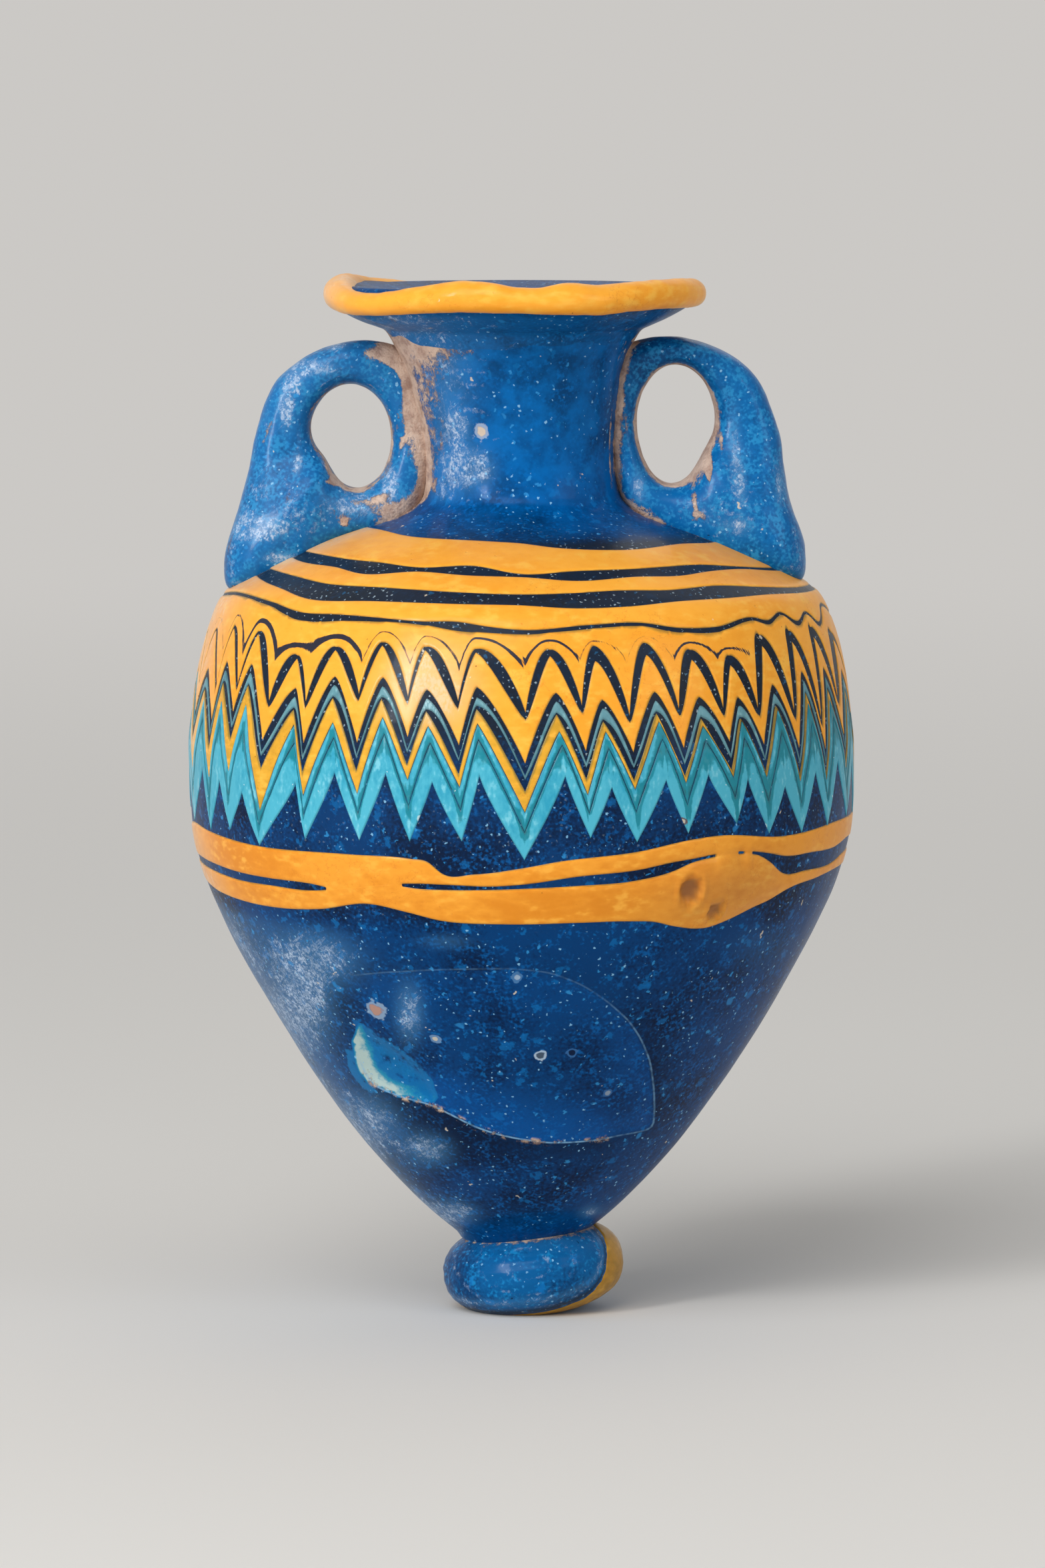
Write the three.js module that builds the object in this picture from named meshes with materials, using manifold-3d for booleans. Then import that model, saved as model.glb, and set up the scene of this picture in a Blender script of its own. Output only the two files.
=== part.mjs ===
// Amphoriskos: a small core-formed glass flask with two handles and a knob for a foot.
// Millimetres, +Z up. The origin is at the foot on the body's axis, +X is the right-hand
// handle and the front faces -Y. Angles are in degrees round +Z, to the right of the front.
import * as THREE from "three";
import { mergeVertices } from "three/addons/utils/BufferGeometryUtils.js";
import Module from "manifold-3d";

// Body: a wound glass ground with a hollow left by the core
const BELLY_RADIUS = 32;
const BODY_FOOT_RADIUS = 6.3;
const BELLY_RISE = 46.1; // from the body's foot to its widest level
const SHOULDER_RISE = 24.5; // from the widest level to the root of the neck
const WALL = 3;
const FLOOR_THICKNESS = 5;

// Neck
const NECK_RADIUS = 9.3;
const NECK_RISE = 16.4; // from its root to the underside of the rim
const NECK_FLARE = 2.7; // how far its top spreads
const NECK_LEAN = -0.8; // how far the top stands off the body's axis
const BORE_RADIUS = 5.2;

// Rim: a broad disc with a rolled trail on its edge
const DISC_RADIUS = 17;
const DISC_UNDERSIDE_RISE = 2.6;
const DISC_EDGE = 2.2;
const DISC_DISH = 1.6; // how far the top falls towards the mouth
const ROLL_STANDS_OUT = 0.05; // its centre line, past the disc's edge
const ROLL_HALF_WIDTH = 1.5;
const ROLL_HALF_HEIGHT = 1.5;
const ROLL_WAVE = 0.2;
const ROLL_WAVES = 5;
const ROLL_CREST_ANGLE = -15;
const ROLL_SIDE_RISE = 0.2; // the right-hand edge stands this much over the middle
const ROLL_BACK_DROP = 1.1; // and the back edge lies this much under it
const ROLL_BACK_ANGLE = 165;

// Knob foot: a flattened ball, set on askew
const KNOB_RADIUS = 8.7;
const KNOB_HALF_HEIGHT = 4.5;
const KNOB_FULLNESS = 0.82; // 1 gives an oval outline, less a squarer one
const KNOB_SEAT = 7.6; // height of the face that carries the body
const KNOB_OFFSET = 1.1;
const KNOB_TILT = 6.5;
const FOOT_RADIUS = 5; // of the flat that it stands on

// Knob trail: a band wound slantwise round the knob
const KNOB_TRAIL_WIDTH = 3;
const KNOB_TRAIL_LEVEL = -0.6; // of its centre line from the middle of the knob
const KNOB_TRAIL_SIDE_RISE = 2.8; // higher on the right
const KNOB_TRAIL_FRONT_DROP = 2.2; // lower at the front
const KNOB_TRAIL_LIFT = 0.3; // its lowest edge stays this far off the ground

// Trails: threads of coloured glass, wound on, combed and rolled in flush
const TRAIL_THICKNESS = 0.6;
const BED_CLEARANCE = 0.35; // under a trail, down to the ground glass
const LINE_WIDTH = 1; // of the ground left to show between two turns of a trail
const STROKE_ROUNDNESS = 1.35; // 1 gives straight zigzags, more rounds the crests
const WINDING_START_SHARE = 0.25; // of a turn, from the front to where the lines wind down

// Lower trail: two turns that run together at the front
const LOWER_TRAIL_DROP = 9.5; // of its centre line, below the widest level
const LOWER_TRAIL_HALF_WIDTH = 3.4;
const LOWER_SLOT_WIDTH = 0.8; // between its two turns
const LOWER_SLOT_START = -22.5;
const LOWER_SLOT_SPAN = 342;

// Pits: two burst bubbles in the swollen part of the lower trail
const PITS = [
  { angle: 30.5, levelShare: -0.18, radius: 1.3, depth: 0.45 },
  { angle: 36.5, levelShare: -0.82, radius: 1.0, depth: 0.35 },
];

// Handles: rods bent into closed rings, pressed to the neck and spread on the shoulder
const LEFT_HANDLE = {
  side: -1,
  holeHalfWidth: 3.95,
  holeHalfHeight: 5.15,
  holeRise: 6.4, // of the hole's middle over the root of the neck
  innerLimb: 3.2,
  outerLimb: 5.5,
  limbDepth: 5.4,
  padReachShare: 0.885,
  eggShare: -0.02,
  pinchShare: 0.15,
  archShares: [1, 0.83, 0.74, 0.95],
};
const RIGHT_HANDLE = {
  side: 1,
  holeHalfWidth: 3.75,
  holeHalfHeight: 5.8,
  holeRise: 7.1,
  innerLimb: 1.8,
  outerLimb: 6.4,
  limbDepth: 5.4,
  padReachShare: 0.84,
  eggShare: 0.07,
  pinchShare: 0.13,
  archShares: [0.97, 0.72, 0.41, 0.66],
};
const HANDLE_BITE = 1.2; // how far a limb would reach into the neck before it is fitted

// Round a handle's ring from its outer side, up and over: the rod's depth as a share of
// limbDepth. The first four places are on the outer limb and the arch.
const RING_DEPTH_SHARES = [
  { angle: 0, depthShare: 1 },
  { angle: 40, depthShare: 0.95 },
  { angle: 88, depthShare: 0.95 },
  { angle: 125, depthShare: 0.95 },
  { angle: 160, depthShare: 1 },
  { angle: 200, depthShare: 1.1 },
  { angle: 235, depthShare: 1.3 },
  { angle: 275, depthShare: 1.5 },
];

// Round the pad, by how far each place is turned from the pad's own direction: shares of
// its distance and of limbDepth.
const PAD_SHARES = [
  { turn: -13, reachShare: 0.86, depthShare: 1.9 },
  { turn: 0, reachShare: 1, depthShare: 2 },
  { turn: 8, reachShare: 0.89, depthShare: 1.8 },
  { turn: 19, reachShare: 0.68, depthShare: 1.45 },
  { turn: 33, reachShare: 0.55, depthShare: 1.15 },
];

// Clearances
const FIT = 0.3; // between a piece and what it was pressed on
const OVERRUN = 2; // of a cutting tool past the surface that it cuts

// Facets
const BODY_SIDES = 44;
const BED_ROWS = 6;
const CORE_SIDES = 24;
const CORE_ROWS = 9;
const RIM_SIDES = 32;
const KNOB_SIDES = 24;
const KNOB_ROWS = 11;
const COLUMNS_PER_STROKE = 4; // tip, rising side, crest, falling side
const HANDLE_STEPS = 28;
const ROD_SIDES = 10;
const ROLL_SIDES = 8;
const BISECTIONS = 40;

// Levels that follow from the sizes
const BELLY_LEVEL = KNOB_SEAT + BELLY_RISE;
const NECK_ROOT = BELLY_LEVEL + SHOULDER_RISE;
const NECK_TOP = NECK_ROOT + NECK_RISE;
const BODY_HEIGHT = NECK_ROOT - KNOB_SEAT;
const NECK_TOP_RADIUS = NECK_RADIUS + NECK_FLARE;
const ROLL_RADIUS = DISC_RADIUS + ROLL_STANDS_OUT;
const BED_DEPTH = TRAIL_THICKNESS + BED_CLEARANCE;

// Outline of the body, from its foot to the widest level: shares of the rise and of the
// way out from the foot's radius to the belly's.
const BELLY_OUTLINE_SHARES = [
  [0, 0],
  [0.078, 0.16],
  [0.217, 0.382],
  [0.412, 0.622],
  [0.636, 0.85],
  [0.82, 0.976],
  [1, 1],
];

// The same from the widest level to the root of the neck: shares of the rise and of the
// way out from the neck's radius to the belly's.
const SHOULDER_OUTLINE_SHARES = [
  [0.2, 0.985],
  [0.367, 0.958],
  [0.522, 0.914],
  [0.645, 0.85],
  [0.722, 0.73],
  [0.788, 0.595],
  [0.849, 0.445],
  [0.9, 0.29],
  [0.945, 0.145],
  [1, 0.04],
];

// The neck: shares of its rise and of its flare.
const NECK_OUTLINE_SHARES = [
  [0.1, 0.06],
  [0.35, 0.05],
  [0.63, 0.3],
  [0.83, 0.54],
  [1, 1],
];

// Rim disc, underside and top: shares of the way out from the bore, or the neck's edge,
// to the disc's edge, and of the underside's rise or the dish.
const DISC_UNDERSIDE_SHARES = [
  [0, 0],
  [0.6, 0.45],
  [1, 1],
];
const DISC_TOP_SHARES = [
  [0.94, 1],
  [0.45, 0.35],
  [0.1, 0],
];

// Lines between the turns of the combed trails, from the shoulder down, where they cross
// the front. crestShare and tipShare are shares of the body's height, and widthShares are
// the line's upright width at a tip, on a slope and at a crest, as shares of LINE_WIDTH.
// crestAtShare is how far the crest lies along the way from one tip to the next.
const LINES = [
  { crestShare: 0.96, tipShare: 0.96, widthShares: [0.25, 0.25, 0.25], crestAtShare: 0.5 },
  { crestShare: 0.925, tipShare: 0.925, widthShares: [0.45, 0.45, 0.45], crestAtShare: 0.5 },
  { crestShare: 0.895, tipShare: 0.895, widthShares: [0.9, 0.9, 0.9], crestAtShare: 0.5 },
  { crestShare: 0.867, tipShare: 0.857, widthShares: [0.5, 0.5, 0.5], crestAtShare: 0.45 },
  { crestShare: 0.829, tipShare: 0.754, widthShares: [0.6, 1.7, 0.6], crestAtShare: 0.38 },
  { crestShare: 0.784, tipShare: 0.698, widthShares: [0.6, 1.1, 0.6], crestAtShare: 0.4 },
  { crestShare: 0.763, tipShare: 0.67, widthShares: [0.7, 1.1, 0.7], crestAtShare: 0.4 },
  { crestShare: 0.735, tipShare: 0.635, widthShares: [0.45, 0.45, 0.45], crestAtShare: 0.45 },
  { crestShare: 0.71, tipShare: 0.608, widthShares: [0.5, 0.5, 0.5], crestAtShare: 0.48 },
  { crestShare: 0.658, tipShare: 0.576, widthShares: [0.4, 0.4, 0.4], crestAtShare: 0.5 },
];
const STRAIGHT_LINES = 3; // so many lines from the top run plain
const ROUNDED_LINES = 5; // so many lines from the top have rounded crests
const PLAIN_TURNS = 3; // of the yellow trail, above the combed ones

// Where the comb was drawn down: the strokes that show at the front, as angles, and how
// far past the mean tip each one goes, as a share of its line's drop. The strokes at the
// back are evenly spaced.
const FRONT_STROKES = [
  { angle: -78, reachShare: 0 },
  { angle: -68, reachShare: -0.02 },
  { angle: -59.3, reachShare: -0.06 },
  { angle: -49.5, reachShare: 0.13 },
  { angle: -39.6, reachShare: 0 },
  { angle: -28.5, reachShare: -0.04 },
  { angle: -19.3, reachShare: -0.09 },
  { angle: -10.3, reachShare: -0.02 },
  { angle: 0.7, reachShare: 0.2 },
  { angle: 10.8, reachShare: 0 },
  { angle: 19.2, reachShare: 0.03 },
  { angle: 28.9, reachShare: -0.01 },
  { angle: 38, reachShare: -0.02 },
  { angle: 46, reachShare: 0.02 },
  { angle: 55.5, reachShare: 0.02 },
  { angle: 65, reachShare: 0.04 },
  { angle: 75.5, reachShare: 0 },
];
const BACK_STROKES = 20;
const FULL_TURN = 360;

// Edges of the lower trail round the front: shares of its half width over its centre line.
const LOWER_TRAIL_SHARES = [
  { angle: -90, upper: 0.94, slot: 0.03, lower: -0.7 },
  { angle: -68, upper: 0.98, slot: -0.06, lower: -0.8 },
  { angle: -45, upper: 0.8, slot: -0.18, lower: -0.82 },
  { angle: -28, upper: 0.78, slot: -0.1, lower: -0.6 },
  { angle: -13, upper: 0.42, slot: 0.02, lower: -0.98 },
  { angle: 3, upper: 0.7, slot: 0.06, lower: -1.05 },
  { angle: 20, upper: 0.96, slot: 0.3, lower: -1.03 },
  { angle: 36, upper: 1.12, slot: 0.7, lower: -1.3 },
  { angle: 48, upper: 1, slot: 0.5, lower: -0.84 },
  { angle: 62, upper: 1, slot: 0.25, lower: -0.32 },
  { angle: 80, upper: 1.05, slot: 0.45, lower: -0.18 },
  { angle: 130, upper: 1, slot: 0.2, lower: -0.55 },
  { angle: 190, upper: 0.95, slot: 0.05, lower: -0.8 },
  { angle: 235, upper: 0.94, slot: 0.03, lower: -0.75 },
];
const LOWER_TRAIL_COLUMNS = 36;

const wasm = await Module();
wasm.setup();

// Solids and meshes

function toSolid(geometry) {
  const bare = geometry.clone();
  bare.deleteAttribute("normal");
  bare.deleteAttribute("uv");
  const merged = mergeVertices(bare);
  return new wasm.Manifold(
    new wasm.Mesh({
      numProp: 3,
      vertProperties: new Float32Array(merged.attributes.position.array),
      triVerts: new Uint32Array(merged.index.array),
    }),
  );
}

function toGeometry(solid) {
  const mesh = solid.getMesh();
  return new THREE.BufferGeometry()
    .setAttribute("position", new THREE.BufferAttribute(mesh.vertProperties, mesh.numProp))
    .setIndex(new THREE.BufferAttribute(mesh.triVerts, 1));
}

// Skins a row of sections, each a ring of as many points that runs down one face and back
// up the other. A row that isn't closed is capped by rungs across its end sections.
function loft(sections, closed) {
  const ring = sections[0].length;
  const positions = sections.flat().flatMap((point) => point.toArray());
  const index = [];
  const quad = (a, b, c, d) => index.push(a, b, c, a, c, d);
  const joined = closed ? sections.length : sections.length - 1;
  for (let i = 0; i < joined; i++) {
    const here = i * ring;
    const there = ((i + 1) % sections.length) * ring;
    for (let j = 0; j < ring; j++) {
      const k = (j + 1) % ring;
      quad(here + j, here + k, there + k, there + j);
    }
  }
  if (!closed) {
    const last = (sections.length - 1) * ring;
    for (let j = 0; j < ring / 2 - 1; j++) {
      const across = ring - 1 - j;
      quad(across, across - 1, j + 1, j);
      quad(last + j, last + j + 1, last + across - 1, last + across);
    }
  }
  return new THREE.BufferGeometry()
    .setAttribute("position", new THREE.Float32BufferAttribute(positions, 3))
    .setIndex(index);
}

// A lathe turned round the Z axis from (radius, height) points, listed so that it faces out.
function turned(points, sides) {
  return new THREE.LatheGeometry(points, sides).rotateX(Math.PI / 2);
}

function onCircle(angle, radius, height) {
  const a = THREE.MathUtils.degToRad(angle);
  return new THREE.Vector3(radius * Math.sin(a), -radius * Math.cos(a), height);
}

// A surface of revolution that trails lie on. Places on it are an angle and a share of the
// outline's length, counted from its foot.
function skinOf(outline) {
  const length = outline.getLength();
  const alongAt = (height) => {
    let low = 0;
    let high = 1;
    for (let i = 0; i < BISECTIONS; i++) {
      const middle = (low + high) / 2;
      if (outline.getPointAt(middle).y < height) low = middle;
      else high = middle;
    }
    return low;
  };
  const profileAt = (along, depth) => {
    const share = THREE.MathUtils.clamp(along, 0, 1);
    const point = outline.getPointAt(share);
    const tangent = outline.getTangentAt(share);
    return new THREE.Vector2(point.x - depth * tangent.y, point.y + depth * tangent.x);
  };
  const at = (angle, along, depth) => {
    const profile = profileAt(along, depth);
    return onCircle(angle, profile.x, profile.y);
  };
  return { outline, length, alongAt, profileAt, at };
}

// A ribbon on a skin: each column has an angle and an along for both edges, and the ribbon
// reaches from one depth under the skin to another.
function ribbon(skin, columns, outer, inner, rows, closed) {
  const sections = columns.map(({ top, bottom }) => {
    const section = [];
    for (let row = 0; row <= rows; row++) {
      const angle = THREE.MathUtils.lerp(top.angle, bottom.angle, row / rows);
      const along = THREE.MathUtils.lerp(top.along, bottom.along, row / rows);
      section.push([skin.at(angle, along, outer), skin.at(angle, along, inner)]);
    }
    return [...section.map((pair) => pair[0]), ...section.reverse().map((pair) => pair[1])];
  });
  return loft(sections, closed);
}

// Body outline

function bodyOutline() {
  const points = [];
  for (const [up, out] of BELLY_OUTLINE_SHARES) {
    const radius = THREE.MathUtils.lerp(BODY_FOOT_RADIUS, BELLY_RADIUS, out);
    points.push(new THREE.Vector2(radius, KNOB_SEAT + up * BELLY_RISE));
  }
  for (const [up, out] of SHOULDER_OUTLINE_SHARES) {
    const radius = THREE.MathUtils.lerp(NECK_RADIUS, BELLY_RADIUS, out);
    points.push(new THREE.Vector2(radius, BELLY_LEVEL + up * SHOULDER_RISE));
  }
  for (const [up, out] of NECK_OUTLINE_SHARES) {
    points.push(new THREE.Vector2(NECK_RADIUS + out * NECK_FLARE, NECK_ROOT + up * NECK_RISE));
  }
  return new THREE.SplineCurve(points);
}

const bodySkin = skinOf(bodyOutline());

// The neck leans a little to the left above its root.
function leanNeck(geometry) {
  const position = geometry.attributes.position;
  for (let i = 0; i < position.count; i++) {
    const lean = NECK_LEAN * THREE.MathUtils.smoothstep(position.getZ(i), NECK_ROOT, NECK_TOP);
    position.setX(i, position.getX(i) + lean);
  }
  return geometry;
}

// The body's whole outer form as a filled solid, swollen by a clearance.
function bodyBlank(swell) {
  const points = [new THREE.Vector2(0, KNOB_SEAT)];
  for (const { y } of bodySkin.outline.points) {
    const profile = bodySkin.profileAt(bodySkin.alongAt(y), -swell);
    profile.y = THREE.MathUtils.clamp(profile.y, KNOB_SEAT, NECK_TOP);
    points.push(profile);
  }
  points.push(new THREE.Vector2(0, NECK_TOP));
  return toSolid(turned(points, BODY_SIDES));
}

// The hollow left by the core: a wall's thickness inside the body, and the neck's bore.
function coreHollow() {
  const first = bodySkin.alongAt(KNOB_SEAT + FLOOR_THICKNESS);
  const last = bodySkin.alongAt(NECK_ROOT);
  const points = [];
  for (let i = 0; i <= CORE_ROWS; i++) {
    const profile = bodySkin.profileAt(THREE.MathUtils.lerp(first, last, i / CORE_ROWS), WALL);
    if (profile.x > BORE_RADIUS) points.push(profile);
  }
  points.unshift(new THREE.Vector2(0, points[0].y));
  points.push(new THREE.Vector2(BORE_RADIUS, points.at(-1).y));
  points.push(new THREE.Vector2(BORE_RADIUS, NECK_TOP + OVERRUN));
  points.push(new THREE.Vector2(0, NECK_TOP + OVERRUN));
  return toSolid(turned(points, CORE_SIDES));
}

// Combed trails

// Every stroke round the body, starting and ending at the back.
function allStrokes() {
  const last = FRONT_STROKES.at(-1).angle;
  const gap = FULL_TURN + FRONT_STROKES[0].angle - last;
  const back = [];
  for (let i = 1; i <= BACK_STROKES; i++) {
    back.push({ angle: last + (gap * i) / (BACK_STROKES + 1), reachShare: 0 });
  }
  const half = BACK_STROKES / 2;
  const left = back.slice(half).map((stroke) => ({ ...stroke, angle: stroke.angle - FULL_TURN }));
  return [...left, ...FRONT_STROKES, ...back.slice(0, half)];
}

const STROKES = allStrokes();
const COLUMNS_PER_TURN = STROKES.length * COLUMNS_PER_STROKE;

// The share of the way between two neighbours in LINES at a column. The lines keep their
// listed heights over the front half, and wind down to the next at the back.
function lineMix(column) {
  const turns = column / COLUMNS_PER_TURN - 1 / 2;
  const front = Math.round(turns);
  const off = turns - front;
  const way = THREE.MathUtils.smoothstep(
    Math.abs(off),
    WINDING_START_SHARE,
    1 - WINDING_START_SHARE,
  );
  const place = THREE.MathUtils.clamp(front + Math.sign(off) * way, 0, LINES.length - 1);
  const low = Math.min(Math.floor(place), LINES.length - 2);
  const mix = (pick) => THREE.MathUtils.lerp(pick(LINES[low]), pick(LINES[low + 1]), place - low);
  return { mix, rounded: place < ROUNDED_LINES };
}

// Where a line runs at a column: its angle, its height and its upright width.
function linePlace(column) {
  const step = column % COLUMNS_PER_STROKE;
  const order = Math.floor(column / COLUMNS_PER_STROKE);
  const stroke = STROKES[order % STROKES.length];
  const next = STROKES[(order + 1) % STROKES.length];
  const turn = Math.floor(order / STROKES.length);
  const nextTurn = Math.floor((order + 1) / STROKES.length);
  const { mix, rounded } = lineMix(column);
  const crestAt = mix((line) => line.crestAtShare);
  const along = [0, crestAt / 2, crestAt, (1 + crestAt) / 2][step];
  const angle = THREE.MathUtils.lerp(
    stroke.angle + turn * FULL_TURN,
    next.angle + nextTurn * FULL_TURN,
    along,
  );
  const side = rounded ? (1 / 2) ** STROKE_ROUNDNESS : 1 / 2;
  const pull = [1, side, 0, side][step];
  const reach = 1 + (step < 2 ? stroke : next).reachShare;
  const crest = mix((line) => line.crestShare);
  const drop = (crest - mix((line) => line.tipShare)) * reach;
  const width = mix((line) => line.widthShares[[0, 1, 2, 1][step]]) * LINE_WIDTH;
  return { angle, height: KNOB_SEAT + (crest - drop * pull) * BODY_HEIGHT, width };
}

// Edges of a trail at a column: just under the line above it, and just over the line that
// the next turn down follows.
function trailColumn(column) {
  const above = linePlace(column);
  const below = linePlace(column + COLUMNS_PER_TURN);
  return {
    top: { angle: above.angle, along: bodySkin.alongAt(above.height - above.width / 2) },
    bottom: {
      angle: below.angle - FULL_TURN,
      along: bodySkin.alongAt(below.height + below.width / 2),
    },
  };
}

// A trail wound from one turn to another, with a step of so many columns, or one column for
// each stroke of the comb where it runs plain. It ends a step early, so that it stands
// clear of the start of the next.
function woundTrail(firstTurn, lastTurn, step) {
  const columns = [];
  const plain = (STRAIGHT_LINES - 1) * COLUMNS_PER_TURN;
  const last = lastTurn * COLUMNS_PER_TURN - step;
  let column = firstTurn * COLUMNS_PER_TURN;
  while (column <= last) {
    columns.push(trailColumn(column));
    column += column < plain ? COLUMNS_PER_STROKE : step;
  }
  return toSolid(ribbon(bodySkin, columns, 0, TRAIL_THICKNESS, 1, false));
}

// The shallow bed that the combed trails were rolled into.
function combedBed() {
  const columns = [];
  const lastTurn = (LINES.length - 2) * COLUMNS_PER_TURN;
  for (let column = 0; column < COLUMNS_PER_TURN; column += COLUMNS_PER_STROKE / 2) {
    const above = linePlace(column);
    const below = linePlace(column + lastTurn + COLUMNS_PER_TURN);
    const turns = (LINES.length - 1) * FULL_TURN;
    columns.push({
      top: { angle: above.angle, along: bodySkin.alongAt(above.height + above.width / 2) },
      bottom: {
        angle: below.angle - turns,
        along: bodySkin.alongAt(below.height - below.width / 2),
      },
    });
  }
  return toSolid(ribbon(bodySkin, columns, -OVERRUN, BED_DEPTH, BED_ROWS, true));
}

// Lower trail

// A share from LOWER_TRAIL_SHARES at any angle, eased from one station to the next.
function lowerShare(angle, pick) {
  const first = LOWER_TRAIL_SHARES[0];
  const stations = [...LOWER_TRAIL_SHARES, { ...first, angle: first.angle + FULL_TURN }];
  const place = THREE.MathUtils.euclideanModulo(angle - first.angle, FULL_TURN) + first.angle;
  const next = stations.findIndex((station) => station.angle > place);
  const before = stations[next - 1];
  const mix = THREE.MathUtils.smoothstep(place, before.angle, stations[next].angle);
  return THREE.MathUtils.lerp(before[pick], stations[next][pick], mix);
}

function lowerAlong(angle, pick, raise) {
  const share = lowerShare(angle, pick);
  const centre = BELLY_LEVEL - LOWER_TRAIL_DROP;
  return bodySkin.alongAt(centre + share * LOWER_TRAIL_HALF_WIDTH + raise);
}

function lowerBand(outer, inner, margin) {
  const columns = [];
  for (let i = 0; i < LOWER_TRAIL_COLUMNS; i++) {
    const angle = LOWER_SLOT_START + (i * FULL_TURN) / LOWER_TRAIL_COLUMNS;
    columns.push({
      top: { angle, along: lowerAlong(angle, "upper", margin) },
      bottom: { angle, along: lowerAlong(angle, "lower", -margin) },
    });
  }
  return toSolid(ribbon(bodySkin, columns, outer, inner, 1, true));
}

// The line of ground between the two turns, which narrows to nothing where they run together.
function lowerSlot() {
  const columns = [];
  const count = Math.round((LOWER_TRAIL_COLUMNS * LOWER_SLOT_SPAN) / FULL_TURN);
  for (let i = 1; i < count; i++) {
    const share = i / count;
    const angle = LOWER_SLOT_START + share * LOWER_SLOT_SPAN;
    const half = (LOWER_SLOT_WIDTH / 2) * Math.sqrt(Math.sin(Math.PI * share));
    columns.push({
      top: { angle, along: lowerAlong(angle, "slot", half) },
      bottom: { angle, along: lowerAlong(angle, "slot", -half) },
    });
  }
  return toSolid(ribbon(bodySkin, columns, -OVERRUN, TRAIL_THICKNESS + OVERRUN, 1, false));
}

function pitTool({ angle, levelShare, radius, depth }) {
  const ball = (radius * radius + depth * depth) / (2 * depth);
  const level = BELLY_LEVEL - LOWER_TRAIL_DROP + levelShare * LOWER_TRAIL_HALF_WIDTH;
  const centre = bodySkin.at(angle, bodySkin.alongAt(level), depth - ball);
  return toSolid(
    new THREE.SphereGeometry(ball, ROD_SIDES, ROD_SIDES).translate(...centre.toArray()),
  );
}

function lowerTrailGeometry() {
  const tools = [lowerSlot(), ...PITS.map(pitTool)];
  return toGeometry(
    tools.reduce((solid, tool) => solid.subtract(tool), lowerBand(0, TRAIL_THICKNESS, 0)),
  );
}

// Body

function bodyGeometry() {
  const tools = [coreHollow(), combedBed(), lowerBand(-OVERRUN, BED_DEPTH, FIT)];
  const solid = tools.reduce((left, tool) => left.subtract(tool), bodyBlank(0));
  return leanNeck(toGeometry(solid));
}

// Rim

function rollPlace(angle) {
  const crest = THREE.MathUtils.degToRad(angle - ROLL_CREST_ANGLE);
  const side = Math.sin(THREE.MathUtils.degToRad(angle));
  const back = Math.max(0, Math.cos(THREE.MathUtils.degToRad(angle - ROLL_BACK_ANGLE)));
  const wave = ROLL_WAVE * Math.cos(ROLL_WAVES * crest);
  const middle = DISC_UNDERSIDE_RISE + DISC_EDGE / 2;
  return middle + wave + ROLL_SIDE_RISE * side - ROLL_BACK_DROP * back ** 2;
}

// The rolled trail round the rim, swollen by a clearance when it is used as a tool.
function roll(swell) {
  const sections = [];
  for (let i = 0; i < RIM_SIDES; i++) {
    const angle = (i * FULL_TURN) / RIM_SIDES;
    const section = [];
    for (let j = 0; j < ROLL_SIDES; j++) {
      const turn = (2 * Math.PI * (j + 1 / 2)) / ROLL_SIDES;
      const radius = ROLL_RADIUS + (ROLL_HALF_WIDTH + swell) * Math.cos(turn);
      const height = rollPlace(angle) - (ROLL_HALF_HEIGHT + swell) * Math.sin(turn);
      section.push(onCircle(angle, radius, height));
    }
    sections.push(section);
  }
  return toSolid(loft(sections, true));
}

function rimDiscGeometry() {
  const edgeTop = DISC_UNDERSIDE_RISE + DISC_EDGE;
  const underside = DISC_UNDERSIDE_SHARES.map(
    ([out, up]) =>
      new THREE.Vector2(
        THREE.MathUtils.lerp(NECK_TOP_RADIUS, DISC_RADIUS, out),
        up * DISC_UNDERSIDE_RISE,
      ),
  );
  const top = DISC_TOP_SHARES.map(
    ([out, up]) =>
      new THREE.Vector2(
        THREE.MathUtils.lerp(BORE_RADIUS, DISC_RADIUS, out),
        edgeTop - (1 - up) * DISC_DISH,
      ),
  );
  const mouth = [BORE_RADIUS, DISC_UNDERSIDE_RISE / 2];
  const points = [
    new THREE.Vector2(BORE_RADIUS, 0),
    ...underside,
    new THREE.Vector2(DISC_RADIUS, edgeTop),
    ...top,
    new THREE.Vector2(...mouth),
    new THREE.Vector2(BORE_RADIUS, 0),
  ];
  return toGeometry(toSolid(turned(points, RIM_SIDES)).subtract(roll(FIT)));
}

// Knob

function knobOutline() {
  const points = [];
  for (let i = 0; i <= KNOB_ROWS; i++) {
    const turn = Math.PI * (i / KNOB_ROWS - 1 / 2);
    const out = Math.max(0, Math.cos(turn)) ** KNOB_FULLNESS;
    const up = Math.sign(turn) * Math.abs(Math.sin(turn)) ** KNOB_FULLNESS;
    points.push(new THREE.Vector2(KNOB_RADIUS * out, KNOB_HALF_HEIGHT * up));
  }
  return new THREE.SplineCurve(points);
}

const knobSkin = skinOf(knobOutline());

// The ball sinks into the ground plane just as far as gives the flat its radius.
const FLAT_SHARE = (FOOT_RADIUS / KNOB_RADIUS) ** (1 / KNOB_FULLNESS);
const KNOB_CENTRE = KNOB_HALF_HEIGHT * Math.sqrt(1 - FLAT_SHARE ** 2) ** KNOB_FULLNESS;

function setAskew(geometry) {
  return geometry
    .rotateY(-THREE.MathUtils.degToRad(KNOB_TILT))
    .translate(KNOB_OFFSET, 0, KNOB_CENTRE);
}

// A slab as wide as the knob needs, between two heights.
function slab(bottom, top) {
  const side = 4 * KNOB_RADIUS;
  return toSolid(
    new THREE.BoxGeometry(side, side, top - bottom).translate(0, 0, (top + bottom) / 2),
  );
}

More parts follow.
